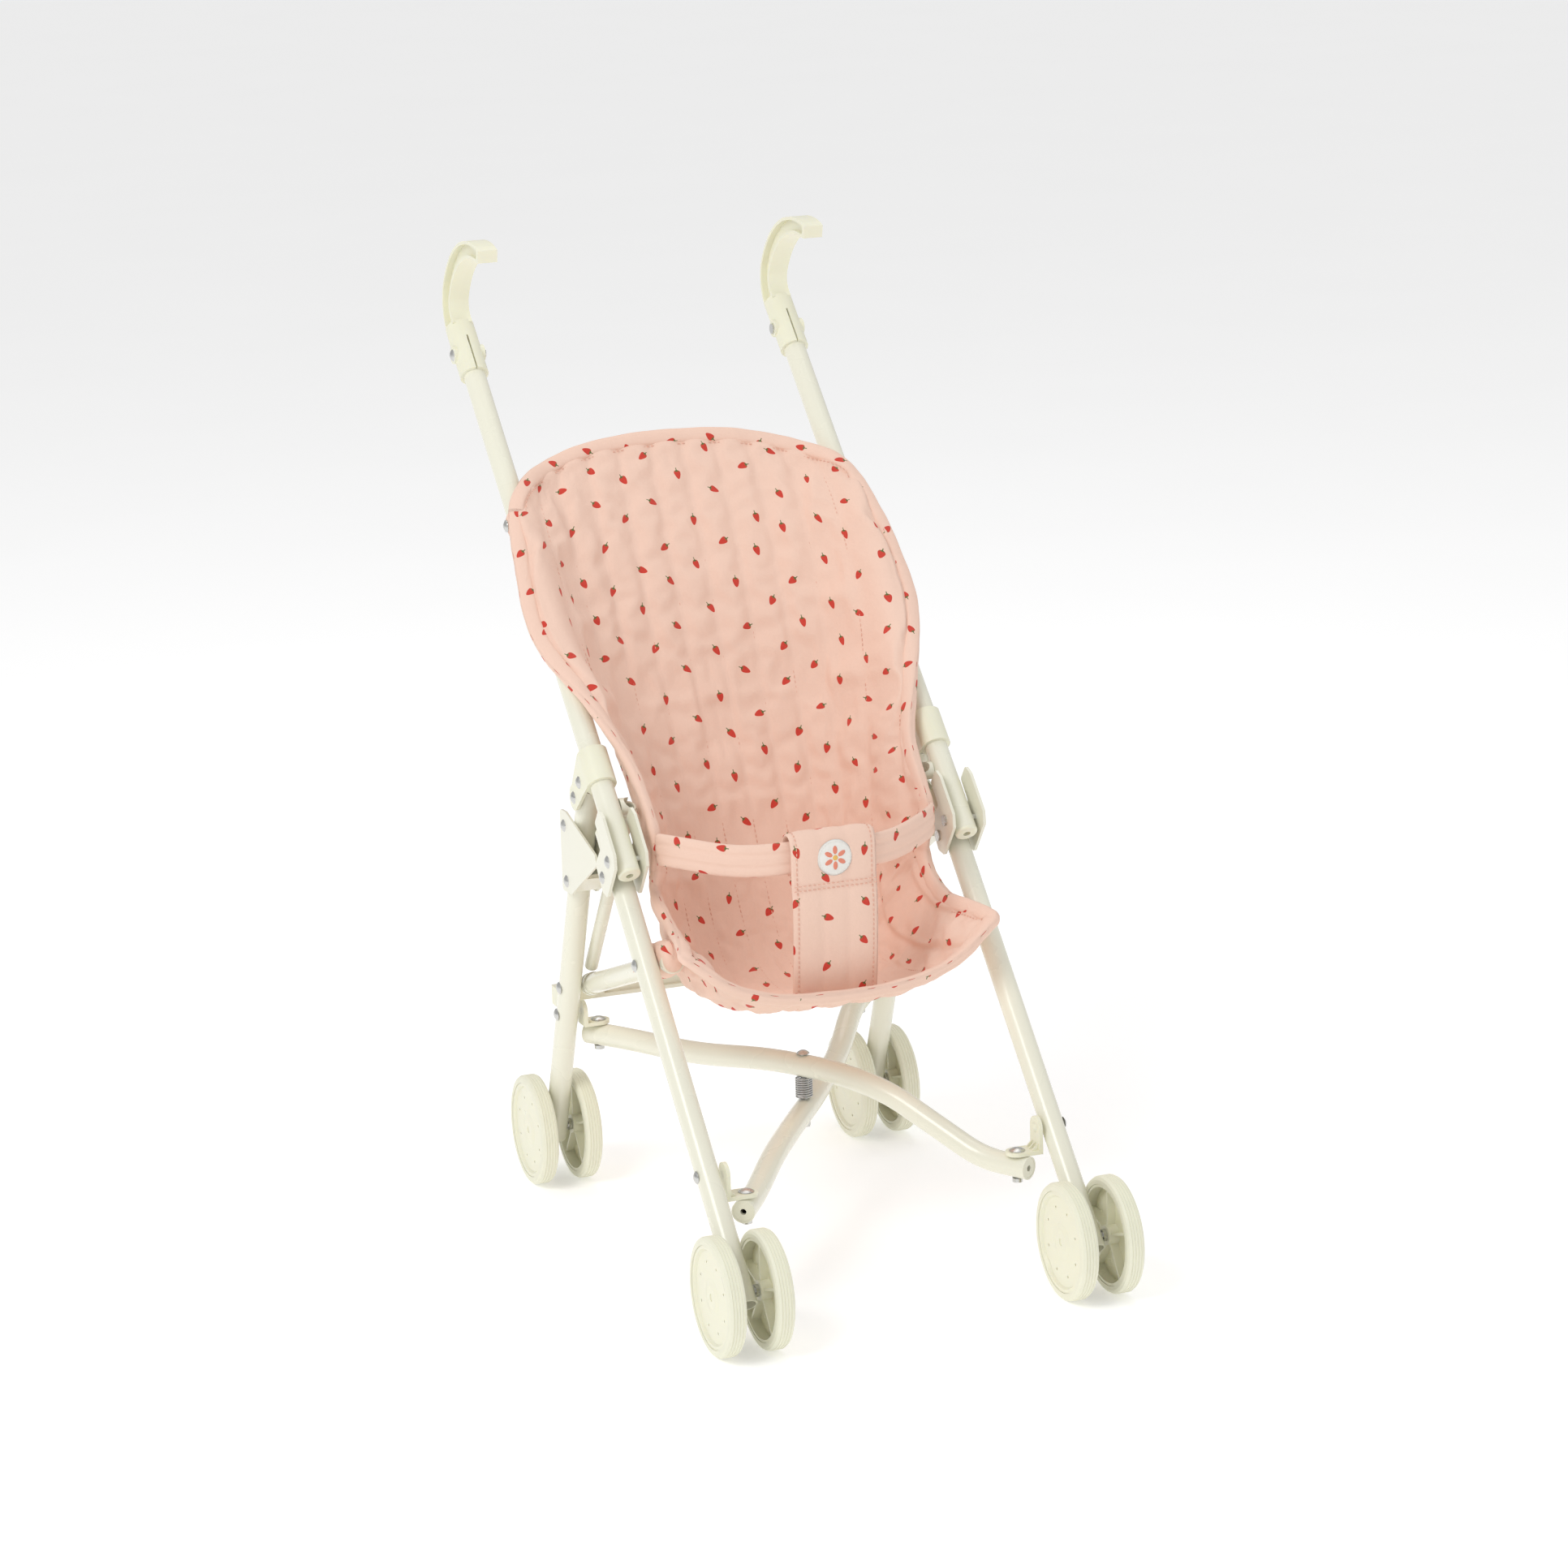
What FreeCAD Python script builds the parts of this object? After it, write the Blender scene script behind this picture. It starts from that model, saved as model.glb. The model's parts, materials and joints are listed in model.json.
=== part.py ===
import FreeCAD, Part
import math
import os

# Folding doll stroller. Millimetres, +Z up, the doll faces -Y, X across.
# The origin is on the floor, under the middle of the whole object.

# ---------------------------------------------------------------- driving dimensions
SIDE_X = 118.0            # centre plane of each side frame
TUBE_R = 7.6              # frame tube
TUBE_WALL = 1.2
WHEEL_R = 38.0
WHEEL_WIDTH = 12.0
WHEEL_OFFSET = 15.8       # wheel centre from the leg's centre plane
AXLE_R = 2.5
RUNNING_GAP = 0.06        # radial clearance of what turns in a hole
RIVET_R = 2.0
HEAD_R = 4.2
HEAD_HEIGHT = 2.0

FRONT_AXLE = (-246.5, WHEEL_R)      # (y, z) places in the side plane
REAR_AXLE = (125.5, WHEEL_R)
FRONT_LEG_TOP = (-14.5, 279.5)
REAR_LEG_TOP = (19.5, 302.5)
PUSH_LOW = (-56.5, 262.0)
PUSH_HIGH = (254.3, 563.4)
RAIL_REAR = (80.6, 150.0)
RAIL_FRONT = (-84.0, 207.0)
RAIL_X = 101.8
RAIL_R = 7.0
RAIL_COLLAR_R = 7.8
STAY_X = 103.0            # slim stay behind each seat side
STAY_R = 4.5
RAIL_OVERHANG = 2.0       # rail tube past its bolt at each end

LEG_PIVOT_UP = 302.0      # front leg pivot, measured up the leg from its axle
CLAMP_PIVOT_UP = 278.0    # rear leg pivot, measured up the leg from its axle
PUSH_RIVET_UP = 10.0      # hinge plate rivet, measured up the push tube
CLAMP_FROM = 68.0         # clamp band along the push tube
CLAMP_TO = 94.0

CROSS_HUB = (0.0, -51.0)  # (x, y) of the bolt where the cross tubes meet
CROSS_FRONT = (93.0, -190.0)
CROSS_REAR = (96.0, 89.0)
FRONT_PLATE_TOP = 83.0    # top face of the front brackets' flat arm
REAR_PLATE_TOP = 122.0
PLATE_T = 2.5
BRACKET_GAP = 2.3         # between a bracket and its leg
UPPER_HUB_Z = 115.0
LOWER_HUB_Z = 84.0

BRACE_Z = 139.0           # rear folding brace
BRACE_PIVOT_X = 97.0
BRACE_LUG_Y = 103.4
BRACE_TAIL = 17.0         # the channel runs on past the middle hinge
CHANNEL_Y = 106.9         # front faces of the two links, one behind the other
CHANNEL_T = 5.0
BAR_Y = 112.4
BAR_T = 4.0
SLING_T = 6.0

os.makedirs("parts", exist_ok=True)
X_AXIS = FreeCAD.Vector(1, 0, 0)
Y_AXIS = FreeCAD.Vector(0, 1, 0)
Z_AXIS = FreeCAD.Vector(0, 0, 1)
written = {}


def vec(x, y, z):
    return FreeCAD.Vector(x, y, z)


def unit(a, b):
    """Direction from (y, z) point a to b, and the distance."""
    dy, dz = b[0] - a[0], b[1] - a[1]
    length = math.hypot(dy, dz)
    return (dy / length, dz / length), length


def along(a, b, distance):
    """The (y, z) point at a distance from a towards b."""
    (dy, dz), _ = unit(a, b)
    return (a[0] + dy * distance, a[1] + dz * distance)


LEG_PIVOT = along(FRONT_AXLE, FRONT_LEG_TOP, LEG_PIVOT_UP)
CLAMP_PIVOT = along(REAR_AXLE, REAR_LEG_TOP, CLAMP_PIVOT_UP)
PUSH_RIVET = along(PUSH_LOW, PUSH_HIGH, PUSH_RIVET_UP)


def height_to_y(a, b, z):
    """The y of the line from a to b at a height z."""
    return a[0] + (b[0] - a[0]) * (z - a[1]) / (b[1] - a[1])


# ---------------------------------------------------------------- helpers
def save(node, shape):
    if len(shape.Solids) == 1:
        shape = shape.Solids[0]
    assert shape.isValid(), node
    shape.exportStep("parts/" + node + ".step")
    written[node] = len(shape.Solids)


def mirrored(shape, side):
    """The left side is modelled at -X; the right side is its mirror image."""
    if side == "left":
        return shape
    return shape.mirror(vec(0, 0, 0), X_AXIS)


def group(shapes):
    solids = []
    for shape in shapes:
        solids.extend(shape.Solids)
    return Part.makeCompound(solids)


def bar(x, a, b, radius, inner=0.0):
    """A round tube or rod in the side plane x from (y, z) point a to b."""
    (dy, dz), length = unit(a, b)
    start, direction = vec(x, a[0], a[1]), vec(0, dy, dz)
    solid = Part.makeCylinder(radius, length, start, direction)
    if inner > 0:
        solid = solid.cut(Part.makeCylinder(inner, length, start, direction))
    return solid


def cross_pin(x0, x1, point, radius):
    """A round pin along X at a (y, z) point."""
    return Part.makeCylinder(radius, x1 - x0, vec(x0, point[0], point[1]), X_AXIS)


def dome_head(base, direction, radius=HEAD_R, height=HEAD_HEIGHT):
    """A domed rivet or screw head that stands on its base point."""
    ball_r = (radius * radius + height * height) / (2 * height)
    centre = base - direction * (ball_r - height)
    ball = Part.makeSphere(ball_r, centre)
    slab = Part.makeCylinder(radius + 1, height + 1, base, direction)
    return ball.common(slab)


def rivet(x_outer, x_inner, point, radius=RIVET_R, inner_head=True):
    """A rivet along X: shank, domed outer head at x_outer, flat inner head at x_inner."""
    shank = cross_pin(x_outer, x_inner, point, radius)
    shape = shank.fuse(dome_head(vec(x_outer, *point), vec(-1, 0, 0)))
    if inner_head:
        disc = Part.makeCylinder(radius + 1.6, 1.2, vec(x_inner, *point), X_AXIS)
        shape = shape.fuse(disc)
    return shape


def plate(points, x0, x1, corner=0.0):
    """A flat plate in the side plane, from (y, z) corners, between x0 and x1."""
    corners = [vec(x0, y, z) for y, z in points]
    face = Part.Face(Part.makePolygon(corners + [corners[0]]))
    solid = face.extrude(vec(x1 - x0, 0, 0))
    if corner > 0:
        edges = []
        for edge in solid.Edges:
            ends = [v.Point for v in edge.Vertexes]
            if len(ends) == 2 and abs(ends[0].x - ends[1].x) > 0.5 * abs(x1 - x0):
                edges.append(edge)
        solid = solid.makeFillet(corner, edges)
    return solid


def wall_tube(path_points, radius, inner):
    """A bent tube through points: straight runs joined by tangent arcs."""
    pieces = []
    start = path_points[0]

    def straight(a, b):
        heading = b - a
        solid = Part.makeCylinder(radius, heading.Length, a, heading)
        return solid.cut(Part.makeCylinder(inner, heading.Length, a, heading))

    for index in range(1, len(path_points) - 1):
        before, corner, after = path_points[index - 1:index + 2]
        to_before = (before - corner).normalize()
        to_after = (after - corner).normalize()
        reach = 0.42 * min((before - corner).Length, (after - corner).Length)
        arc_start = corner + to_before * reach
        half = 0.5 * to_before.getAngle(to_after)
        middle_way = (to_before + to_after).normalize()
        centre = corner + middle_way * (reach / math.cos(half))
        axis = to_after.cross(to_before)
        pieces.append(straight(start, arc_start))
        turn = 180.0 - math.degrees(2 * half)
        discs = [Part.Face(Part.Wire([Part.makeCircle(r, arc_start, to_before)])) for r in (radius, inner)]
        bends = [disc.revolve(centre, axis, turn) for disc in discs]
        pieces.append(bends[0].cut(bends[1]))
        start = corner + to_after * reach
    pieces.append(straight(start, path_points[-1]))
    return pieces[0].fuse(pieces[1:]).removeSplitter()


# ---------------------------------------------------------------- wheels
def ring_profile(points):
    """Turn (axial, radial) points about the X axis."""
    corners = [vec(a, 0, r) for a, r in points]
    face = Part.Face(Part.makePolygon(corners + [corners[0]]))
    return face.revolve(vec(0, 0, 0), X_AXIS, 360)


def tyre():
    """Soft tread ring with rounded shoulders and four fine grooves."""
    half = WHEEL_WIDTH / 2
    inner_r, groove, land = WHEEL_R - 5.2, 0.45, 1.1
    points = [(-half, inner_r), (-half, WHEEL_R - 2.6), (-half + 0.8, WHEEL_R - 0.9)]
    for index in range(4):
        middle = -3.0 + 2.0 * index
        points.append((middle - land / 2, WHEEL_R))
        points.append((middle - 0.2, WHEEL_R - groove))
        points.append((middle + 0.2, WHEEL_R - groove))
        points.append((middle + land / 2, WHEEL_R))
    points += [(half - 0.8, WHEEL_R - 0.9), (half, WHEEL_R - 2.6), (half, inner_r)]
    return ring_profile(points)


def wheel():
    """Moulded wheel: the closed disc faces -X, ribs and hub face +X."""
    half = WHEEL_WIDTH / 2
    rim_r = WHEEL_R - 5.3
    body = ring_profile([
        (-half + 1.4, AXLE_R), (-half + 1.4, 7.5), (-half + 2.2, 12.0),
        (-half + 2.2, rim_r - 3.5), (-half + 0.6, rim_r - 2.2), (-half + 0.6, rim_r),
        (half - 0.4, rim_r), (half - 0.4, rim_r - 1.8), (-half + 4.2, rim_r - 1.8),
        (-half + 4.2, 7.0), (half - 0.8, 6.4), (half - 0.8, AXLE_R)])
    cap = Part.makeCylinder(AXLE_R + 0.5, 0.9, vec(-half + 1.9, 0, 0), X_AXIS)
    body = body.fuse(cap)
    spoke_count, hole_count = 5, 8
    for index in range(spoke_count):
        spoke = Part.makeBox(WHEEL_WIDTH - 6.2, 1.6, rim_r - 7.4, vec(-half + 4.0, -0.8, 6.0))
        body = body.fuse(spoke.rotate(vec(0, 0, 0), X_AXIS, 360.0 * index / spoke_count))
    for index in range(hole_count):
        angle = 2 * math.pi * (index + 0.5) / hole_count
        place = vec(-half, 22.5 * math.cos(angle), 22.5 * math.sin(angle))
        body = body.cut(Part.makeCylinder(0.9, 5.0, place, X_AXIS))
    return body.removeSplitter()


def wheelset(name, side, axle_place):
    base_wheel, base_tyre = wheel(), tyre()
    turned = {-1: (base_wheel, base_tyre)}
    turned[1] = (base_wheel.mirror(vec(0, 0, 0), X_AXIS), base_tyre)
    wheels, tyres = [], []
    for out in (-1, 1):
        offset = vec(-SIDE_X + out * WHEEL_OFFSET, *axle_place)
        wheels.append(turned[out][0].translated(offset))
        tyres.append(turned[out][1].translated(offset))
    reach = WHEEL_OFFSET + WHEEL_WIDTH / 2 - 2.8
    axle = cross_pin(-SIDE_X - reach, -SIDE_X + reach, axle_place, AXLE_R)
    for part in wheels:
        assert part.isValid()
    wheels = [part.cut(axle) for part in wheels]
    collar_from = TUBE_R + 0.5
    collar_to = WHEEL_OFFSET - WHEEL_WIDTH / 2 + 0.6
    for out in (-1, 1):
        x0 = min(out * collar_from, out * collar_to) - SIDE_X
        collar = cross_pin(x0, x0 + collar_to - collar_from, axle_place, AXLE_R + 1.5)
        axle = axle.fuse(collar)
    save(name + "_wheels", mirrored(group(wheels), side))
    save(name + "_tyres", mirrored(group(tyres), side))
    save(name + "_axle", mirrored(axle, side))


# ---------------------------------------------------------------- side frames
def tube_with_holes(a, b, holes, extra=0.0):
    """A frame tube at the side plane, with a closed plug face at its ends."""
    start = along(a, b, -extra)
    solid = bar(-SIDE_X, start, b, TUBE_R, TUBE_R - TUBE_WALL)
    for point, radius in holes:
        solid = solid.cut(cross_pin(-SIDE_X - 12, -SIDE_X + 12, point, radius))
    return solid


def end_plug(a, b, hole=0.0):
    """A moulded plug: its rounded face closes the tube end at a, on the way from b."""
    (dy, dz), _ = unit(b, a)
    place, direction = vec(-SIDE_X, a[0], a[1]), vec(0, dy, dz)
    face = Part.makeCylinder(TUBE_R, 2.4, place + direction * 0.05, direction)
    rims = [e for e in face.Edges if (e.CenterOfMass - place).Length > 2.0 and e.Closed]
    face = face.makeFillet(1.5, rims)
    spigot = Part.makeCylinder(TUBE_R - TUBE_WALL - 0.05, 6.0, place - direction * 5.9, direction)
    shape = face.fuse(spigot)
    if hole > 0:
        shape = shape.cut(Part.makeCylinder(hole, 14.0, place - direction * 8.0, direction))
    return shape


def push_frame():
    """The push tube with its hinge plates, clamp, plug and rivets."""
    tube = tube_with_holes(PUSH_LOW, PUSH_HIGH, [(PUSH_RIVET, RIVET_R)])
    plug = end_plug(PUSH_LOW, PUSH_HIGH, 2.5)
    plug = plug.cut(cross_pin(-SIDE_X - 12, -SIDE_X + 12, PUSH_RIVET, RIVET_R + 0.1))
    outline = [(-34.0, 300.0), (-42.0, 297.0), (-62.5, 276.0), (-63.5, 267.0),
               (-46.0, 244.5), (-37.0, 246.0), (-24.0, 262.0), (-38.0, 277.0), (-26.0, 290.0)]
    plates = []
    for x0 in (-SIDE_X - 11.8, -SIDE_X + 9.8):
        flat = plate(outline, x0, x0 + 2.0, 2.0)
        flat = flat.cut(cross_pin(x0 - 1, x0 + 3, PUSH_RIVET, RIVET_R))
        plates.append(flat.cut(cross_pin(x0 - 1, x0 + 3, LEG_PIVOT, RIVET_R)))
    rivets = [rivet(-SIDE_X - 11.8, -SIDE_X + 11.8, place) for place in (PUSH_RIVET, LEG_PIVOT)]
    return tube, plug, group(plates), rivets


def clamp():
    """A moulded band round the push tube with two ears that hold the rear leg."""
    start = along(PUSH_LOW, PUSH_HIGH, CLAMP_FROM)
    stop = along(PUSH_LOW, PUSH_HIGH, CLAMP_TO)
    band_r = TUBE_R + 2.6
    band = bar(-SIDE_X, start, stop, band_r)
    (dy, dz), _ = unit(PUSH_LOW, PUSH_HIGH)
    ears = []
    for x0 in (-SIDE_X - 10.2, -SIDE_X + 8.0):
        a, b = start, stop
        centre = CLAMP_PIVOT
        tip_r = 8.5
        corners = [a, b, (centre[0] + dy * tip_r * 0.8, centre[1] + dz * tip_r * 0.8),
                   (centre[0] - dy * tip_r, centre[1] - dz * tip_r)]
        ear = plate(corners, x0, x0 + 2.2)
        ear = ear.fuse(Part.makeCylinder(tip_r, 2.2, vec(x0, *centre), X_AXIS))
        ears.append(ear)
    shape = band.fuse(ears)
    shape = shape.cut(bar(-SIDE_X, along(PUSH_LOW, PUSH_HIGH, CLAMP_FROM - 5),
                          along(PUSH_LOW, PUSH_HIGH, CLAMP_TO + 5), TUBE_R))
    rivet_place = (CLAMP_PIVOT[0] - dz * 18.0, CLAMP_PIVOT[1] + dy * 18.0)
    holes = [cross_pin(-SIDE_X - 12, -SIDE_X + 12, p, RIVET_R) for p in (CLAMP_PIVOT, rivet_place)]
    shape = shape.cut(holes[0]).cut(holes[1])
    rivets = [rivet(-SIDE_X - 10.2, -SIDE_X + 10.2, p) for p in (CLAMP_PIVOT, rivet_place)]
    return shape, rivets


def grip():
    """A moulded hook handle: socket on the tube, then a channelled J that curls forwards."""
    (dy, dz), _ = unit(PUSH_LOW, PUSH_HIGH)
    heading = math.atan2(dz, dy)
    straight, small_r, large_r, nose = 21.15, 20.0, 68.0, 6.0
    thick = (9.0, 9.0, 8.8, 8.4, 6.8, 5.2, 4.4)    # half thickness from the socket to the tip
    wall = 2.2
    turn_mid, turn_end = math.radians(120), math.radians(192)
    p0 = along(PUSH_HIGH, PUSH_LOW, 0.0)
    p1 = (p0[0] + dy * straight, p0[1] + dz * straight)
    c1 = (p1[0] - small_r * math.sin(heading), p1[1] + small_r * math.cos(heading))

    def on_arc(centre, radius, angle):
        return (centre[0] + radius * math.sin(angle), centre[1] - radius * math.cos(angle))

    p2 = on_arc(c1, small_r, turn_mid)
    c2 = (p2[0] - large_r * math.sin(turn_mid), p2[1] + large_r * math.cos(turn_mid))
    p3 = on_arc(c2, large_r, turn_end)
    p4 = (p3[0] + nose * math.cos(turn_end), p3[1] + nose * math.sin(turn_end))

    def band(shrink, x0, x1, tail, tip):
        """The hook's outline, each side of its centre line, less an even shrink."""
        half = [t - shrink for t in thick]
        def shifted(point, angle, distance):
            return vec(x0, point[0] - distance * math.sin(angle), point[1] + distance * math.cos(angle))
        q1 = (p1[0] - dy * tail, p1[1] - dz * tail)
        q4 = (p4[0] + tip * math.cos(turn_end), p4[1] + tip * math.sin(turn_end))
        mid1, mid2 = (heading + turn_mid) / 2, (turn_mid + turn_end) / 2
        m1, m2 = on_arc(c1, small_r, mid1), on_arc(c2, large_r, mid2)
        places = [(q1, heading), (p1, heading), (m1, mid1), (p2, turn_mid), (m2, mid2),
                  (p3, turn_end), (q4, turn_end)]
        out = [shifted(point, angle, -h) for (point, angle), h in zip(places, half)]
        inn = [shifted(point, angle, h) for (point, angle), h in zip(places, half)][::-1]
        edges = []
        for side, following in ((out, inn), (inn, out)):
            edges.append(Part.LineSegment(side[0], side[1]).toShape())
            edges.append(Part.Arc(side[1], side[2], side[3]).toShape())
            edges.append(Part.Arc(side[3], side[4], side[5]).toShape())
            edges.append(Part.LineSegment(side[5], side[6]).toShape())
            edges.append(Part.LineSegment(side[6], following[0]).toShape())
        return Part.Face(Part.Wire(edges)).extrude(vec(x1 - x0, 0, 0))

    half_width, half_web = 7.0, 2.6
    body = band(0.0, -SIDE_X - half_width, -SIDE_X + half_width, 4.0, 0.0)
    for side in (-1, 1):
        x0 = -SIDE_X + side * half_width
        x1 = -SIDE_X + side * half_web
        body = body.cut(band(wall, min(x0, x1), max(x0, x1), 0.5, -3.5))
    socket_r = TUBE_R + 2.4
    sleeve_length = 23.5      # of tube inside the socket
    sleeve_from = along(PUSH_HIGH, PUSH_LOW, sleeve_length)
    sleeve_to = along(PUSH_HIGH, PUSH_LOW, -straight + 2.0)
    sleeve = bar(-SIDE_X, sleeve_from, sleeve_to, socket_r)
    bolt_place = along(PUSH_HIGH, PUSH_LOW, 4.5)
    boss = cross_pin(-SIDE_X - socket_r - 1.0, -SIDE_X + socket_r + 1.0, bolt_place, 6.0)
    body = body.fuse([sleeve, boss])
    bore_from, bore_to = along(PUSH_HIGH, PUSH_LOW, sleeve_length + 10.0), along(PUSH_HIGH, PUSH_LOW, -0.1)
    body = body.cut(bar(-SIDE_X, bore_from, bore_to, TUBE_R))
    body = body.cut(cross_pin(-SIDE_X - 15, -SIDE_X + 15, bolt_place, RIVET_R))
    (sy, sz) = along(PUSH_HIGH, PUSH_LOW, sleeve_length)
    slit = Part.makeBox(1.2, sleeve_length + 6.0, socket_r + 2.0, vec(-0.6, -1.0, 0))
    slit = slit.rotate(vec(0, 0, 0), X_AXIS, math.degrees(heading))
    body = body.cut(slit.translated(vec(-SIDE_X, sy, sz)))
    reach = socket_r + 1.0
    bolt = rivet(-SIDE_X - reach, -SIDE_X + reach, bolt_place)
    tube_hole = cross_pin(-SIDE_X - 15, -SIDE_X + 15, bolt_place, RIVET_R)
    return body.removeSplitter(), bolt, tube_hole


def gusset():
    """A folded steel plate on the rear leg: two triangles and the web that joins them."""
    outline = [(56.0, 281.0), (44.0, 281.5), (-16.0, 265.5), (-18.0, 258.5),
               (38.0, 226.0), (57.0, 225.0)]
    cheeks = [plate(outline, x0, x0 + 1.5, 3.0) for x0 in (-SIDE_X - 9.4, -SIDE_X + 7.9)]
    web_line = [(8.0, 243.4), (33.0, 228.9), (34.4, 231.3), (9.4, 245.8)]
    web = plate(web_line, -SIDE_X - 8.2, -SIDE_X + 8.2)
    shape = cheeks[0].fuse([cheeks[1], web])
    low = along(REAR_AXLE, REAR_LEG_TOP, 210.0)
    high = (low[0] + 1.5, low[1] + 38.0)
    places = [low, high]
    for place in places:
        shape = shape.cut(cross_pin(-SIDE_X - 12, -SIDE_X + 12, place, RIVET_R))
    rivets = [rivet(-SIDE_X - 9.4, -SIDE_X + 9.4, place) for place in places]
    return shape, rivets, low


def side_strut():
    """A thinner stay from the rail's rear end up to the push tube's inner side."""
    low, high = (78.0, 163.5), (-17.5, 296.0)
    shape = bar(-STAY_X, low, high, STAY_R, STAY_R - TUBE_WALL)
    eye = Part.makeCylinder(6.0, SIDE_X - TUBE_R - 0.3 - STAY_X, vec(0.3 + TUBE_R - SIDE_X, *high), X_AXIS)
    eye = eye.cut(bar(-STAY_X, low, along(high, low, -8.0), STAY_R))
    return shape, max(eye.Solids, key=lambda s: s.Volume)


# ---------------------------------------------------------------- brackets, cross tubes, brace
def bracket(place, plate_top, bolt_z, screw_r):
    """A moulded angle: a tall arm beside the leg and a flat tongue over the tube end."""
    x_out = -SIDE_X + TUBE_R + BRACKET_GAP
    half_width = 7.5
    tongue_z = plate_top - PLATE_T
    arm_top = bolt_z
    y0 = place[1]
    arm = Part.makeBox(PLATE_T, 2 * half_width, arm_top - tongue_z, vec(x_out, y0 - half_width, tongue_z))
    arm = arm.fuse(Part.makeCylinder(half_width, PLATE_T, vec(x_out, y0, arm_top), X_AXIS))
    reach = -place[0] - x_out
    tongue = Part.makeBox(reach, 2 * half_width, PLATE_T, vec(x_out, y0 - half_width, tongue_z))
    tongue = tongue.fuse(Part.makeCylinder(half_width, PLATE_T, vec(-place[0], y0, tongue_z), Z_AXIS))
    shape = arm.fuse(tongue)
    for shift in (-4.5, 0.0, 4.5):
        corner = [vec(x_out + PLATE_T, y0 + shift - 0.6, plate_top)]
        corner.append(corner[0] + vec(4.5, 0, 0))
        corner.append(corner[0] + vec(0, 0, 4.5))
        rib = Part.Face(Part.makePolygon(corner + [corner[0]])).extrude(vec(0, 1.2, 0))
        shape = shape.fuse(rib)
    shape = shape.removeSplitter()
    hole = Part.makeCylinder(screw_r, 10, vec(-place[0], y0, tongue_z - 3), Z_AXIS)
    shape = shape.cut(hole)
    inner_x = x_out + PLATE_T
    shape = shape.cut(cross_pin(x_out - 1, inner_x + 1, (y0, bolt_z), RIVET_R))
    rivet_in = cross_pin(x_out + 0.1, inner_x, (y0, bolt_z), RIVET_R)
    rivet_in = rivet_in.fuse(dome_head(vec(inner_x, y0, bolt_z), X_AXIS, 3.4, 1.6))
    return shape, rivet_in


def cross_tube(upper):
    """A bent cross tube from a rear corner (left for the upper one) to the far front one."""
    sign = -1.0 if upper else 1.0
    rear = vec(sign * CROSS_REAR[0], CROSS_REAR[1], REAR_PLATE_TOP - PLATE_T - TUBE_R - 0.5)
    front = vec(-sign * CROSS_FRONT[0], CROSS_FRONT[1], FRONT_PLATE_TOP - PLATE_T - TUBE_R - 0.5)
    hub_z = UPPER_HUB_Z if upper else LOWER_HUB_Z
    hub = vec(CROSS_HUB[0], CROSS_HUB[1], hub_z)
    overhang = 9.0
    flat_rear = (rear - vec(hub.x, hub.y, rear.z)).normalize()
    flat_front = (front - vec(hub.x, hub.y, front.z)).normalize()

    def at(direction, distance, z):
        return vec(hub.x + direction.x * distance, hub.y + direction.y * distance, z)

    rear_reach = math.hypot(rear.x - hub.x, rear.y - hub.y)
    front_reach = math.hypot(front.x - hub.x, front.y - hub.y)
    rear_bend = 0.52 if upper else 0.60
    front_bend = 0.40 if upper else 0.55
    rear_z = rear.z - 2.0 if upper else hub_z + 8.0
    points = [at(flat_rear, rear_reach + overhang, rear.z), at(flat_rear, rear_reach * 0.84, rear.z),
              at(flat_rear, rear_reach * rear_bend, rear_z), at(flat_rear, 26.0, hub_z),
              at(flat_front, 26.0, hub_z - (1.0 if upper else 0.0)),
              at(flat_front, front_reach * front_bend, hub_z - (8.0 if upper else 2.0)),
              at(flat_front, front_reach * 0.84, front.z + 1.0),
              at(flat_front, front_reach + overhang, front.z)]
    tube = wall_tube(points, TUBE_R, TUBE_R - TUBE_WALL)
    bolt_hole = Part.makeCylinder(2.0 + RUNNING_GAP, 30, vec(hub.x, hub.y, hub_z - 15), Z_AXIS)
    tube = tube.cut(bolt_hole)
    screws = []
    for end, top in ((rear, REAR_PLATE_TOP), (front, FRONT_PLATE_TOP)):
        bottom_z = end.z - TUBE_R
        hole = Part.makeCylinder(1.6, 2 * TUBE_R + 2, vec(end.x, end.y, bottom_z - 1), Z_AXIS)
        tube = tube.cut(hole)
        shank = Part.makeCylinder(1.6, top + 0.35 - bottom_z, vec(end.x, end.y, bottom_z), Z_AXIS)
        head = dome_head(vec(end.x, end.y, top + 0.35), Z_AXIS, 5.2, 1.8)
        nut = Part.makeCylinder(3.4, 2.6, vec(end.x, end.y, bottom_z - 2.6), Z_AXIS)
        screws.append(shank.fuse([head, nut]))
    plugs = []
    for index, other in ((0, 1), (-1, -2)):
        end, inward = points[index], points[other]
        out = (end - inward).normalize()
        disc = Part.makeCylinder(TUBE_R - TUBE_WALL - 0.03, 3.0, end - out * 3.2, out)
        plugs.append(disc.cut(Part.makeCylinder(2.0, 6.0, end - out * 4.5, out)))
    return tube, screws, group(plugs)


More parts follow.
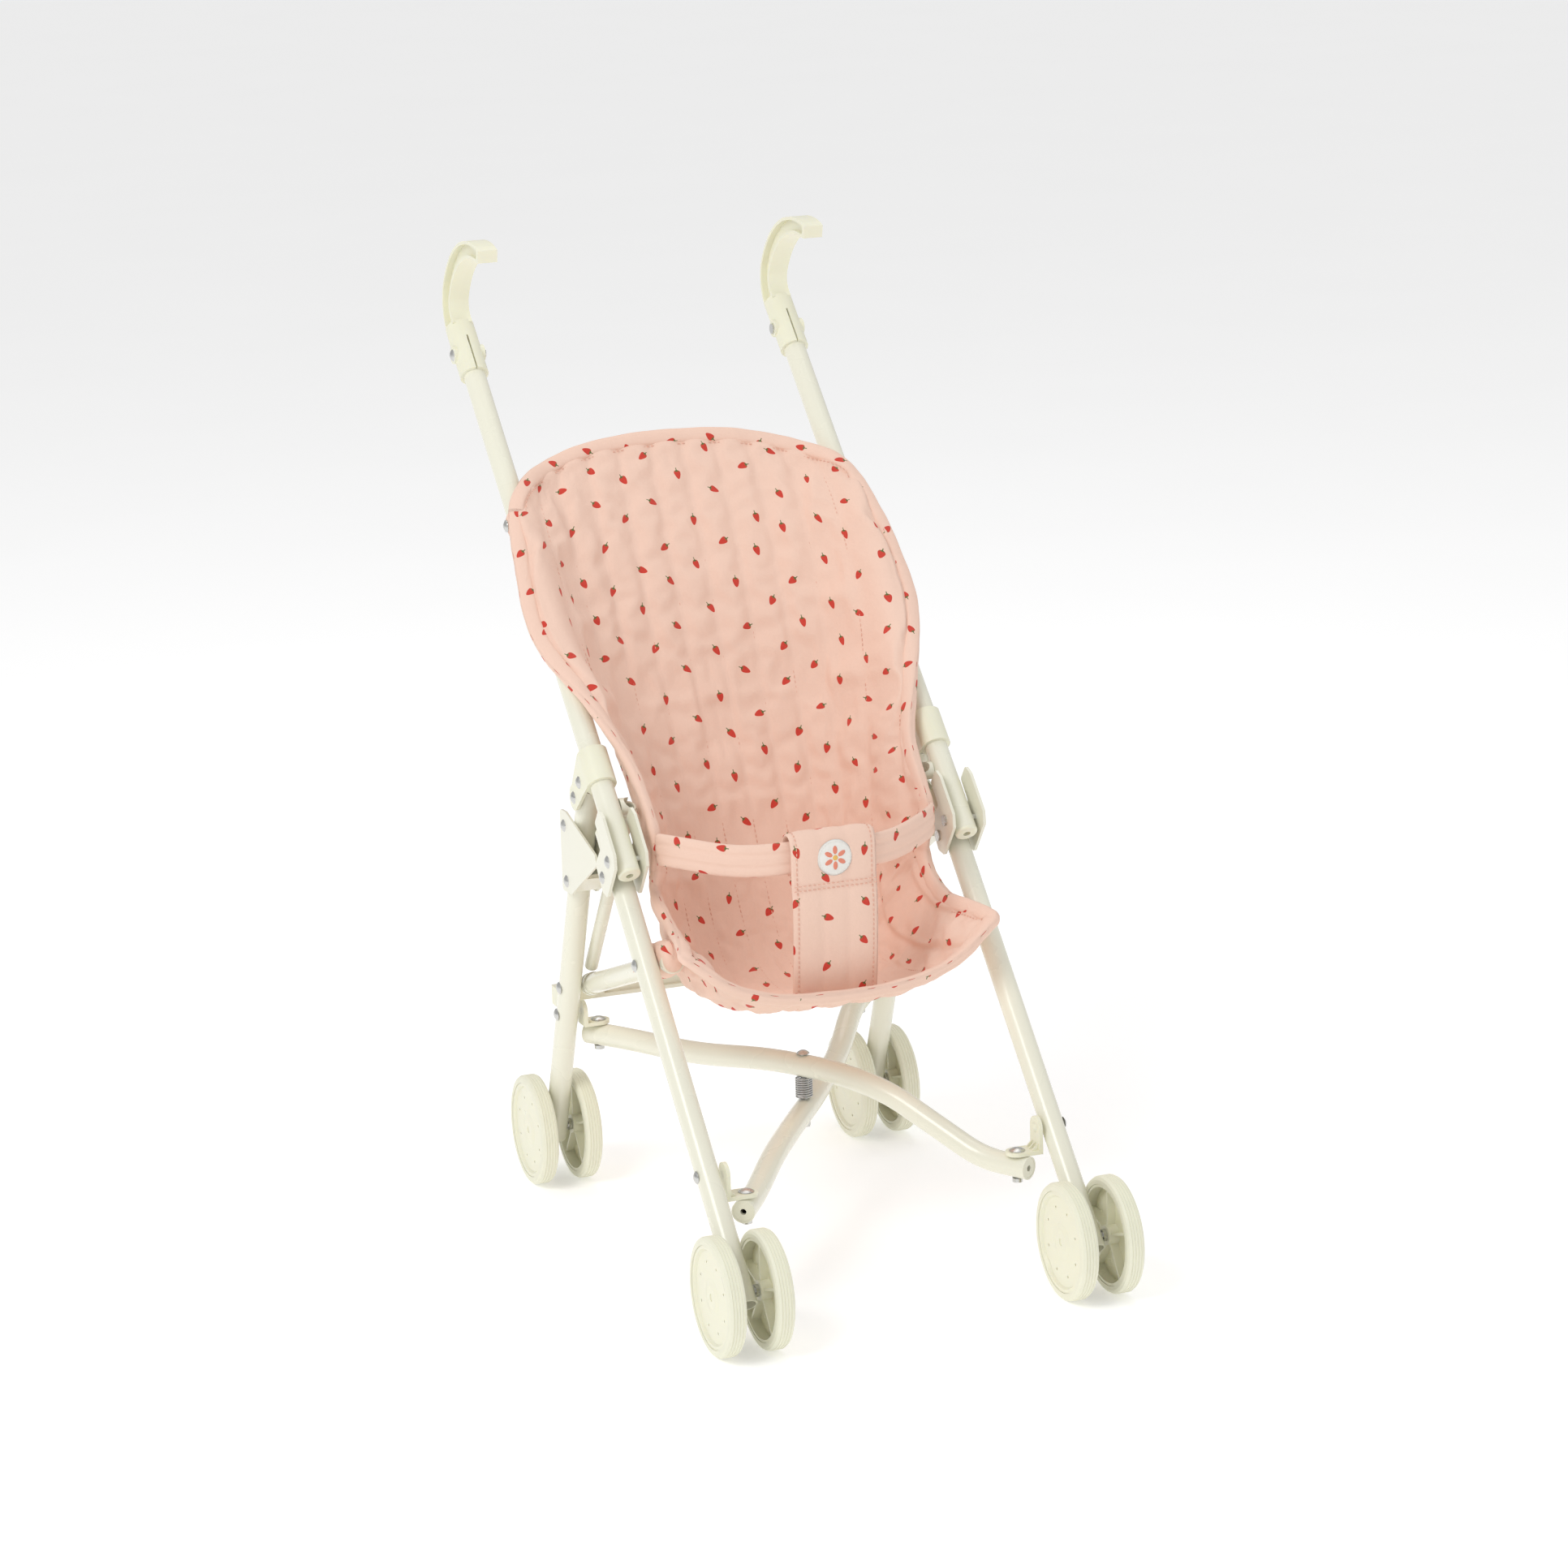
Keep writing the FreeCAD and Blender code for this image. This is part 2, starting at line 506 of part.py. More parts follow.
def hub_hardware():
    """The bolt where the cross tubes meet, its nut, and the spring round it."""
    x, y = CROSS_HUB
    low, high = LOWER_HUB_Z - TUBE_R - 0.4, UPPER_HUB_Z + TUBE_R + 0.4
    shank = Part.makeCylinder(2.0, high - low + 4.0, vec(x, y, low - 4.0), Z_AXIS)
    head = dome_head(vec(x, y, high), Z_AXIS, 4.4, 2.2)
    hexagon = [vec(x + 3.9 * math.cos(i * math.pi / 3), y + 3.9 * math.sin(i * math.pi / 3), low - 3.4)
               for i in range(6)]
    nut = Part.Face(Part.makePolygon(hexagon + [hexagon[0]])).extrude(vec(0, 0, 3.2))
    bolt = shank.fuse([head, nut])
    wire_r, coil_r, pitch = 0.6, 5.2, 1.55
    bottom, top = LOWER_HUB_Z + TUBE_R + 0.9, UPPER_HUB_Z - TUBE_R - 0.9
    helix = Part.makeHelix(pitch, top - bottom, coil_r)
    ring = Part.Wire([Part.makeCircle(wire_r, vec(coil_r, 0, 0), Y_AXIS)])
    spring = Part.Wire(helix).makePipeShell([ring], True, True)
    return bolt, spring.translated(vec(x, y, bottom))


def brace_link(length, half_height, y0, thickness, recess):
    """A flat link along X from its pivot at the origin side, with rounded ends."""
    body = Part.makeBox(length, thickness, 2 * half_height, vec(0, y0, -half_height))
    for x in (0.0, length):
        body = body.fuse(Part.makeCylinder(half_height, thickness, vec(x, y0, 0), Y_AXIS))
    body = body.removeSplitter()
    if recess:
        depth = thickness - 2.0
        inner = Part.makeBox(length - 20, depth, 2 * half_height - 5, vec(12, y0 - 0.01, 2.5 - half_height))
        body = body.cut(inner)
    return body


def rear_brace():
    """Two flat links that meet near the middle, and a lug on each rear leg."""
    channel = brace_link(BRACE_PIVOT_X + BRACE_TAIL, 7.5, CHANNEL_Y, CHANNEL_T, True)
    channel = channel.translated(vec(-BRACE_PIVOT_X, 0, BRACE_Z))
    slim = brace_link(BRACE_PIVOT_X, 5.5, BAR_Y, BAR_T, False)
    slim = slim.translated(vec(0, 0, BRACE_Z))
    return channel, slim


def brace_pins():
    """Each link carries its own half of the middle hinge and its end screw."""
    pin_r = 1.6
    channel_back, bar_back = CHANNEL_Y + CHANNEL_T, BAR_Y + BAR_T
    channel_pins = [pin_y(-BRACE_PIVOT_X, CHANNEL_Y - 0.1, channel_back, BRACE_Z, pin_r, "back"),
                    pin_y(0.0, CHANNEL_Y, channel_back, BRACE_Z, pin_r, "front")]
    bar_pins = [pin_y(0.0, BAR_Y, bar_back, BRACE_Z, pin_r, "back"),
                pin_y(BRACE_PIVOT_X, CHANNEL_Y - 0.1, bar_back, BRACE_Z, pin_r, "back")]
    return channel_pins, bar_pins


def brace_lug():
    """A moulded saddle behind the rear leg that carries the brace's end screw."""
    leg_y = height_to_y(REAR_AXLE, REAR_LEG_TOP, BRACE_Z)
    flat = Part.makeBox(SIDE_X - BRACE_PIVOT_X + 5, 3.0, 13.0, vec(-SIDE_X - 5, BRACE_LUG_Y, BRACE_Z - 6.5))
    end = Part.makeCylinder(6.5, 3.0, vec(-BRACE_PIVOT_X, BRACE_LUG_Y, BRACE_Z), Y_AXIS)
    saddle = Part.makeBox(11.0, BRACE_LUG_Y - leg_y + 1.0, 13.0, vec(-SIDE_X - 5.5, leg_y, BRACE_Z - 6.5))
    shape = flat.fuse([end, saddle]).removeSplitter()
    leg = bar(-SIDE_X, REAR_AXLE, REAR_LEG_TOP, TUBE_R + 0.02)
    shape = shape.cut(leg)
    return max(shape.Solids, key=lambda s: s.Volume)


def pin_y(x, y0, y1, z, radius, head_at):
    """A screw along Y with one domed head."""
    shank = Part.makeCylinder(radius, y1 - y0, vec(x, y0, z), Y_AXIS)
    if head_at == "front":
        head = dome_head(vec(x, y0, z), vec(0, -1, 0), 3.8, 1.6)
    else:
        head = dome_head(vec(x, y1, z), vec(0, 1, 0), 3.8, 1.6)
    return shank.fuse(head)


# ---------------------------------------------------------------- soft parts
# Rows run from the top of the back rest to the front lip. Each row has five
# points from the middle of the seat to its right edge; the left is its mirror.
SLING_ROWS = [
    [(0, 190, 505), (50, 187, 502), (88, 178, 493), (113, 156, 485), (127, 141, 469)],
    [(0, 163, 455), (52, 158, 455), (92, 143, 452), (115, 117, 450), (134, 107, 437)],
    [(0, 133, 398), (52, 127, 398), (90, 108, 397), (114, 71, 403), (136, 66, 392)],
    [(0, 104, 338), (50, 97, 338), (83, 76, 340), (102, 30, 352), (114, 16, 355)],
    [(0, 76, 282), (48, 68, 282), (76, 45, 288), (91, 8, 305), (98, -14, 319)],
    [(0, 49, 228), (46, 41, 228), (71, 22, 236), (85, -8, 258), (96, -48, 283)],
    [(0, 22, 187), (46, 16, 188), (71, 2, 198), (84, -16, 228), (96, -46, 262)],
    [(0, -10, 168), (46, -12, 169), (71, -16, 179), (84, -24, 209), (96, -42, 243)],
    [(0, -55, 165), (46, -56, 167), (72, -58, 178), (85, -62, 203), (96, -72, 227)],
    [(0, -100, 172), (46, -100, 174), (74, -100, 186), (87, -104, 209), (103, -106, 226)],
    [(0, -140, 186), (46, -139, 189), (77, -137, 199), (98, -134, 214), (110, -131, 223)],
]


def smooth(values, t):
    """A Catmull-Rom curve through points, at a parameter from 0 to len - 1."""
    last = len(values) - 1
    i = min(int(t), last - 1)
    f = t - i
    p1, p2 = values[i], values[i + 1]
    p0 = values[i - 1] if i > 0 else [2 * a - b for a, b in zip(p1, p2)]
    p3 = values[i + 2] if i + 2 <= last else [2 * b - a for a, b in zip(p1, p2)]
    return [0.5 * (2 * b + (c - a) * f + (2 * a - 5 * b + 4 * c - d) * f * f
                   + (3 * b - a - 3 * c + d) * f ** 3) for a, b, c, d in zip(p0, p1, p2, p3)]


def sling_point(across, down):
    """A point of the sling's middle surface: across from -1 to 1, down from 0 to 1."""
    rows = [smooth(row, abs(across) * (len(row) - 1)) for row in SLING_ROWS]
    x, y, z = smooth(rows, down * (len(rows) - 1))
    return vec(x if across >= 0 else -x, y, z)


def sling():
    """The seat fabric as one padded sheet of even thickness, in flat facets."""
    across_count, down_count = 16, 20
    middle = [[sling_point(-1 + 2 * i / across_count, j / down_count)
               for i in range(across_count + 1)] for j in range(down_count + 1)]

    def normal(i, j):
        left, right = middle[j][max(i - 1, 0)], middle[j][min(i + 1, across_count)]
        up, down = middle[max(j - 1, 0)][i], middle[min(j + 1, down_count)][i]
        return (right - left).cross(down - up).normalize()

    sheets = []
    for side in (1, -1):
        sheets.append([[middle[j][i] + normal(i, j) * (side * SLING_T / 2)
                        for i in range(across_count + 1)] for j in range(down_count + 1)])
    faces = []

    def triangle(a, b, c):
        faces.append(Part.Face(Part.makePolygon([a, b, c, a])))

    def quad(a, b, c, d):
        triangle(a, b, c)
        triangle(a, c, d)

    for sheet in sheets:
        for j in range(down_count):
            for i in range(across_count):
                quad(sheet[j][i], sheet[j][i + 1], sheet[j + 1][i + 1], sheet[j + 1][i])
    near, far = sheets
    for i in range(across_count):
        quad(near[0][i], near[0][i + 1], far[0][i + 1], far[0][i])
        quad(near[-1][i], near[-1][i + 1], far[-1][i + 1], far[-1][i])
    for j in range(down_count):
        quad(near[j][0], near[j + 1][0], far[j + 1][0], far[j][0])
        quad(near[j][-1], near[j + 1][-1], far[j + 1][-1], far[j][-1])
    shell = Part.makeShell(faces)
    solid = Part.Solid(shell)
    if solid.Volume < 0:
        solid.reverse()
    return solid


BELT_HALF_SPAN = 93.0
BELT_BACK_Y = -58.0       # where the belt leaves the side walls
BELT_FRONT_Y = -112.0     # the middle of its forward bow
BELT_MID_Z = 273.0
BELT_HALF_HEIGHT = 11.0
BELT_T = 3.0


def belt_band(half_height, y_shift, thickness, half_span, z_mid):
    """A flat band along an arc that bows forwards, standing on edge."""
    def arc(offset):
        a = vec(-half_span, BELT_BACK_Y + y_shift - offset, z_mid - half_height)
        m = vec(0, BELT_FRONT_Y + y_shift - offset, z_mid - half_height)
        b = vec(half_span, BELT_BACK_Y + y_shift - offset, z_mid - half_height)
        return a, m, b
    a0, m0, b0 = arc(0.0)
    a1, m1, b1 = arc(thickness)
    edges = [Part.Arc(a0, m0, b0).toShape(), Part.LineSegment(b0, b1).toShape(),
             Part.Arc(b1, m1, a1).toShape(), Part.LineSegment(a1, a0).toShape()]
    return Part.Face(Part.Wire(edges)).extrude(vec(0, 0, 2 * half_height))


def crotch_strap():
    """A padded strap from the seat's front up to its loop round the belt."""
    half_width, thickness = 30.0, 4.0
    belt_front = BELT_FRONT_Y - BELT_T
    low = (-118.0, 183.5)
    high = (belt_front - thickness - 0.6, BELT_MID_Z - BELT_HALF_HEIGHT - 1.5)
    top = BELT_MID_Z + BELT_HALF_HEIGHT + 3.5
    front_y = belt_front - thickness - 0.6
    back_y = BELT_FRONT_Y + 9.0
    outline = [low, (low[0] + thickness, low[1]), (front_y + thickness, high[1]),
               (front_y + thickness, top - 3.0), (back_y, top - 3.0), (back_y, high[1] + 4.0),
               (back_y + 3.0, high[1] + 4.0), (back_y + 3.0, top), (front_y, top), high]
    corners = [vec(-half_width, y, z) for y, z in outline]
    solid = Part.Face(Part.makePolygon(corners + [corners[0]])).extrude(vec(2 * half_width, 0, 0))
    return solid, front_y


# ---------------------------------------------------------------- build
def build_side(side):
    tube, plug, plates, push_rivets = push_frame()
    handle, grip_bolt, tube_hole = grip()
    clamp_shape, clamp_rivets = clamp()
    tube = tube.cut(tube_hole)
    save(side + "_push_tube", mirrored(tube, side))
    save(side + "_push_plug", mirrored(plug, side))
    save(side + "_hinge_plates", mirrored(plates, side))
    save(side + "_grip", mirrored(handle, side))
    save(side + "_clamp", mirrored(clamp_shape, side))
    save(side + "_push_rivets", mirrored(group(push_rivets + clamp_rivets + [grip_bolt]), side))

    rail = bar(-RAIL_X, along(RAIL_REAR, RAIL_FRONT, -RAIL_OVERHANG),
               along(RAIL_FRONT, RAIL_REAR, -RAIL_OVERHANG), RAIL_R, RAIL_R - TUBE_WALL)
    rail_ends = ((RAIL_REAR, RAIL_FRONT, 4.0), (RAIL_FRONT, RAIL_REAR, 6.5))
    collars = []
    for start, stop, overhang in rail_ends:
        end_cap = bar(-RAIL_X, along(start, stop, -overhang), along(start, stop, -RAIL_OVERHANG), RAIL_COLLAR_R)
        ring = bar(-RAIL_X, along(start, stop, 2.0), along(start, stop, 5.0), RAIL_COLLAR_R, RAIL_R)
        collars.extend([end_cap, ring])
    save(side + "_seat_rail", mirrored(group([rail] + collars), side))

    strut, eye = side_strut()
    save(side + "_stay", mirrored(group([strut, eye]), side))

    axle_hole = AXLE_R + RUNNING_GAP
    pivot_hole = RIVET_R + RUNNING_GAP
    bracket_up = (CROSS_FRONT[1] - FRONT_AXLE[0]) / unit(FRONT_AXLE, FRONT_LEG_TOP)[0][0]
    front_bolt = along(FRONT_AXLE, FRONT_LEG_TOP, bracket_up)
    leg = tube_with_holes(FRONT_AXLE, FRONT_LEG_TOP, [(FRONT_AXLE, axle_hole), (LEG_PIVOT, pivot_hole)], 9.0)
    shank_in = -SIDE_X + TUBE_R - 0.2
    rivets = []
    for place in (front_bolt, RAIL_FRONT_ON_LEG):
        leg = leg.cut(cross_pin(-SIDE_X - 12, -SIDE_X + 12, place, RIVET_R))
        rivets.append(rivet(-SIDE_X - TUBE_R, shank_in, place, inner_head=False))
    top_plug = end_plug(FRONT_LEG_TOP, FRONT_AXLE)
    save(side + "_front_leg", mirrored(leg, side))
    save(side + "_front_leg_plug", mirrored(top_plug, side))
    save(side + "_front_leg_rivets", mirrored(group(rivets), side))

    plate_shape, gusset_rivets, low_place = gusset()
    rear_bolt = (CROSS_REAR[1], rear_bolt_z())
    holes = [(REAR_AXLE, axle_hole), (CLAMP_PIVOT, pivot_hole), (low_place, RIVET_R)]
    leg = tube_with_holes(REAR_AXLE, REAR_LEG_TOP, holes, 9.0)
    rivets = list(gusset_rivets)
    for place in (rear_bolt, RAIL_REAR):
        leg = leg.cut(cross_pin(-SIDE_X - 12, -SIDE_X + 12, place, RIVET_R))
        rivets.append(rivet(-SIDE_X - TUBE_R, shank_in, place, inner_head=False))
    save(side + "_rear_leg", mirrored(leg, side))
    save(side + "_gusset", mirrored(plate_shape, side))
    lug = brace_lug()
    lug_screw_hole = Part.makeCylinder(1.7, 6, vec(-BRACE_PIVOT_X, BRACE_LUG_Y - 1, BRACE_Z), Y_AXIS)
    save(side + "_brace_lug", mirrored(lug.cut(lug_screw_hole), side))
    save(side + "_rear_leg_rivets", mirrored(group(rivets), side))

    front, front_rivet = bracket(CROSS_FRONT, FRONT_PLATE_TOP, front_bolt[1], 4.6)
    rear, rear_rivet = bracket(CROSS_REAR, REAR_PLATE_TOP, rear_bolt[1], 4.6)
    save(side + "_front_bracket", mirrored(group([front, front_rivet]), side))
    save(side + "_rear_bracket", mirrored(group([rear, rear_rivet]), side))

    wheelset("front_" + side, side, FRONT_AXLE)
    wheelset("rear_" + side, side, REAR_AXLE)


def rear_bolt_z():
    """Height of the rear bracket's bolt on the leg's centre line."""
    (dy, dz), _ = unit(REAR_AXLE, REAR_LEG_TOP)
    return REAR_AXLE[1] + (CROSS_REAR[1] - REAR_AXLE[0]) * dz / dy


RAIL_FRONT_ON_LEG = along(FRONT_AXLE, FRONT_LEG_TOP, 235.0)

for side_name in ("left", "right"):
    build_side(side_name)

for name, is_upper in (("upper", True), ("lower", False)):
    tube, screws, plugs = cross_tube(is_upper)
    save(name + "_cross_tube", group([tube, plugs]))
    save(name + "_cross_tube_screws", group(screws))

hub_bolt, hub_spring = hub_hardware()
save("hub_bolt", hub_bolt)
save("hub_spring", hub_spring)

channel, slim = rear_brace()
channel_pins, bar_pins = brace_pins()
for pin in channel_pins:
    channel = channel.cut(pin)
for pin in bar_pins:
    slim = slim.cut(pin)
save("brace_channel", channel)
save("brace_channel_pins", group(channel_pins))
save("brace_bar", slim)
save("brace_bar_pins", group(bar_pins))

save("seat_sling", sling())
belt = belt_band(BELT_HALF_HEIGHT, 0.0, BELT_T, BELT_HALF_SPAN, BELT_MID_Z)
save("waist_belt", belt)
strap, strap_front = crotch_strap()
save("crotch_strap", strap)
badge_y = strap_front - 0.2
badge = Part.makeCylinder(12.0, 1.2, vec(0, badge_y, BELT_MID_Z), vec(0, -1, 0))
save("strap_badge", badge)

print(len(written), "nodes,", sum(written.values()), "solids")
print("leg pivot", LEG_PIVOT, "clamp pivot", CLAMP_PIVOT, "rear bolt z", rear_bolt_z())
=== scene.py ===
# %% [markdown]
# # A folding doll stroller
#
# The hard parts (tubes, hinges, wheels, grips) come ready made from the packed
# model, which is loaded first and never moved. This lesson gives each of them a
# finish, and then makes the soft parts by hand: the quilted seat, its rolled
# binding, the waist belt, the crotch strap, its round patch and the stitching.

import json
import math

import bmesh
import bpy
import numpy as np
from mathutils import Matrix, Vector


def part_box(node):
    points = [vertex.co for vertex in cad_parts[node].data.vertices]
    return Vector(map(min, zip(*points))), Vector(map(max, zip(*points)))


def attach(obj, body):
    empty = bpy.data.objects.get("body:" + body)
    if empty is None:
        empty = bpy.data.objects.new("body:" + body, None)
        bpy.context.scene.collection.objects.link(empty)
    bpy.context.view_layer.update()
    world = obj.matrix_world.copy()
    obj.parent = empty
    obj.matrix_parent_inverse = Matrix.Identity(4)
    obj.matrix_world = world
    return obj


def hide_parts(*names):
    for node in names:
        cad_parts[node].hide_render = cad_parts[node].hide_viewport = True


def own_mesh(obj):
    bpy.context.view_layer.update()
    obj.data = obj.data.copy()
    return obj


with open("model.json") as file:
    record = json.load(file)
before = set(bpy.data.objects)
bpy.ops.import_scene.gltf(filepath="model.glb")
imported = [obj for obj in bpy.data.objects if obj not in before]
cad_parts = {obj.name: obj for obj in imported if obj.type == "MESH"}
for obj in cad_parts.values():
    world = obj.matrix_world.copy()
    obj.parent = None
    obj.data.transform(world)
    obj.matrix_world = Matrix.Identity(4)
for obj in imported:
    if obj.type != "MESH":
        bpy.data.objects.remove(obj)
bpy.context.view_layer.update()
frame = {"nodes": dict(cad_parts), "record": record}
MM = 0.001

# %% [markdown]
# ## Finishes
#
# Every finish is a small tree of nodes. Paint, plastic and metal read Object
# coordinates, in metres, so a grain has its real size on every piece. Cloth reads
# its own UV map, also in metres, so the weave and print follow the fabric.

# %% A short way to write node trees
class Tree:
    """A material's nodes, with short calls for the ones used here."""

    def __init__(self, name):
        self.material = bpy.data.materials.new(name)
        self.material.use_nodes = True
        self.nodes = self.material.node_tree.nodes
        self.links = self.material.node_tree.links
        self.shader = self.nodes["Principled BSDF"]

    def put(self, socket, value):
        if isinstance(value, bpy.types.NodeSocket):
            self.links.new(value, socket)
        else:
            socket.default_value = value

    def math(self, operation, a, b=0.0, clamp=False):
        node = self.nodes.new("ShaderNodeMath")
        node.operation = operation
        node.use_clamp = clamp
        self.put(node.inputs[0], a)
        self.put(node.inputs[1], b)
        return node.outputs[0]

    def noise(self, coords, scale, detail=3.0, roughness=0.5):
        node = self.nodes.new("ShaderNodeTexNoise")
        node.inputs["Scale"].default_value = scale
        node.inputs["Detail"].default_value = detail
        node.inputs["Roughness"].default_value = roughness
        self.links.new(coords, node.inputs["Vector"])
        return node.outputs["Fac"]

    def spread(self, value, low, high):
        """Stretch a 0 to 1 value to a range."""
        node = self.nodes.new("ShaderNodeMapRange")
        node.inputs["From Min"].default_value = 0.3
        node.inputs["From Max"].default_value = 0.7
        node.inputs["To Min"].default_value = low
        node.inputs["To Max"].default_value = high
        self.links.new(value, node.inputs["Value"])
        return node.outputs["Result"]

    def mix(self, factor, a, b):
        node = self.nodes.new("ShaderNodeMix")
        node.data_type = "RGBA"
        self.put(node.inputs["Factor"], factor)
        self.put(node.inputs[6], a)
        self.put(node.inputs[7], b)
        return node.outputs[2]

    def bump(self, height, distance, strength=1.0, below=None):
        node = self.nodes.new("ShaderNodeBump")
        node.inputs["Strength"].default_value = strength
        node.inputs["Distance"].default_value = distance
        self.links.new(height, node.inputs["Height"])
        if below is not None:
            self.links.new(below, node.inputs["Normal"])
        return node.outputs["Normal"]

    def coords(self, kind="Object"):
        return self.nodes.new("ShaderNodeTexCoord").outputs[kind]

    def set(self, **values):
        """Constant values go on the shader's own sockets."""
        for name, value in values.items():
            self.shader.inputs[name.replace("_", " ")].default_value = value

    def finish(self, color=None, roughness=None, normal=None):
        for name, value in (("Base Color", color), ("Roughness", roughness), ("Normal", normal)):
            if value is not None:
                self.put(self.shader.inputs[name], value)
        return self.material


def shade(color, factor):
    """The same colour, lighter or darker."""
    return (color[0] * factor, color[1] * factor, color[2] * factor, 1.0)


# %% [markdown]
# The tubes are steel with a glossy warm ivory coat. A real coat is never quite
# flat: it has a faint orange-peel ripple, and its gloss changes from place to
# place where hands have been.

# %% Paint, plastic and tread
IVORY = (0.850, 0.835, 0.700)
IVORY_PLASTIC = (0.840, 0.825, 0.655)
TREAD = (0.830, 0.820, 0.665)


def coated_steel(name, color, gloss):
    tree = Tree(name)
    where = tree.coords()
    clouds = tree.noise(where, 14.0, 4.0)
    peel = tree.noise(where, 900.0, 2.0)
    specks = tree.noise(where, 2600.0, 1.0)
    tint = tree.mix(clouds, shade(color, 0.965), shade(color, 1.02))
    tint = tree.mix(tree.spread(specks, 0.0, 0.05), tint, (0.45, 0.40, 0.28, 1.0))
    normal = tree.bump(peel, 0.00012, 0.35)
    tree.set(Coat_Weight=0.35, Coat_Roughness=0.12, IOR=1.5)
    return tree.finish(tint, tree.spread(clouds, gloss - 0.05, gloss + 0.07), normal)


def moulded(name, color, rough, grain):
    """Injection-moulded plastic: a fine spark-eroded grain and a slight glow inside."""
    tree = Tree(name)
    where = tree.coords()
    flow = tree.noise(where, 32.0, 4.0)
    pits = tree.noise(where, grain, 2.0, 0.65)
    waves = tree.noise(where, 130.0, 2.0)
    tint = tree.mix(flow, shade(color, 0.955), shade(color, 1.025))
    normal = tree.bump(waves, 0.0004, 0.25)
    normal = tree.bump(pits, 0.00006, 0.5, normal)
    tree.set(Subsurface_Weight=0.12, Subsurface_Scale=0.004, IOR=1.47)
    tree.shader.inputs["Subsurface Radius"].default_value = (1.0, 0.85, 0.45)
    return tree.finish(tint, tree.spread(flow, rough - 0.06, rough + 0.08), normal)


def soft_tread(name, color):
    """Foamed rubber: matt, with tiny pores and a little dust in them."""
    tree = Tree(name)
    where = tree.coords()
    pores = tree.noise(where, 1500.0, 3.0, 0.7)
    scuffs = tree.noise(where, 70.0, 5.0, 0.65)
    tint = tree.mix(tree.spread(scuffs, 0.0, 0.35), shade(color, 1.01), shade(color, 0.9))
    normal = tree.bump(pores, 0.00012, 0.5)
    tree.set(Sheen_Weight=0.08, IOR=1.45)
    return tree.finish(tint, tree.spread(scuffs, 0.5, 0.68), normal)


# %% [markdown]
# The rivets and bolts are plated steel. Plating shows fine turning marks and a
# patchy, slightly yellow haze, so both the roughness and the tint vary.

# %% Plated metal
def plated(name, color, rough):
    tree = Tree(name)
    where = tree.coords()
    haze = tree.noise(where, 260.0, 4.0)
    marks = tree.noise(where, 3800.0, 2.0, 0.7)
    tint = tree.mix(haze, shade(color, 0.82), shade(color, 1.12))
    tree.set(Metallic=1.0)
    return tree.finish(tint, tree.spread(haze, rough - 0.06, rough + 0.14), tree.bump(marks, 0.00003, 0.5))


FINISHES = {
    "frame_paint": coated_steel("ivory_coated_tube", IVORY, 0.27),
    "plate_paint": coated_steel("ivory_coated_sheet", shade(IVORY, 0.985)[:3], 0.33),
    "plastic_ivory": moulded("ivory_moulding", IVORY_PLASTIC, 0.34, 2200.0),
    "grip_plastic": moulded("grip_moulding", IVORY_PLASTIC, 0.40, 1700.0),
    "wheel_plastic": moulded("wheel_moulding", (0.835, 0.820, 0.650), 0.32, 2400.0),
    "tyre": soft_tread("foam_tread", TREAD),
    "steel": plated("plated_steel", (0.62, 0.62, 0.60), 0.25),
    "spring_steel": plated("spring_wire", (0.50, 0.50, 0.50), 0.30),
}
print(len(FINISHES), "hard finishes")

# %% [markdown]
# The seat is a thin cotton with a small scattered berry print. The print is drawn
# by arithmetic on the cloth's own coordinates: the cloth is divided into cells,
# each cell's number gives a random turn and shift, and a formula for the width of
# a berry at each height says which points are red. The stalk and leaves are the
# same idea in green. A picture would be simpler, but it blurs close up.

# %% The berry print
CELL_ACROSS = 22.5       # millimetres between berries
CELL_ALONG = 31.0
BERRY_RED = (0.700, 0.070, 0.042, 1.0)
BERRY_DEEP = (0.560, 0.040, 0.030, 1.0)
LEAF_GREEN = (0.115, 0.165, 0.050, 1.0)
SCATTER_ACROSS, SCATTER_ALONG, SCATTER_TURN = 7.0, 9.0, 2.6
BERRY_TIP, BERRY_TALL, BERRY_HALF = 3.8, 6.8, 3.2
LEAF_FROM, LEAF_TALL, LEAF_HALF = 1.7, 2.0, 1.9
STALK_FROM, STALK_TO, STALK_HALF = 2.0, 4.9, 0.38
WEAVE_PITCH = 0.55       # millimetres between threads
PEACH = (0.900, 0.635, 0.515)


def inside(tree, value, sharpness=7.0):
    """1 where a value in millimetres is above zero, with a soft printed edge."""
    return tree.math("MULTIPLY", value, sharpness, clamp=True)


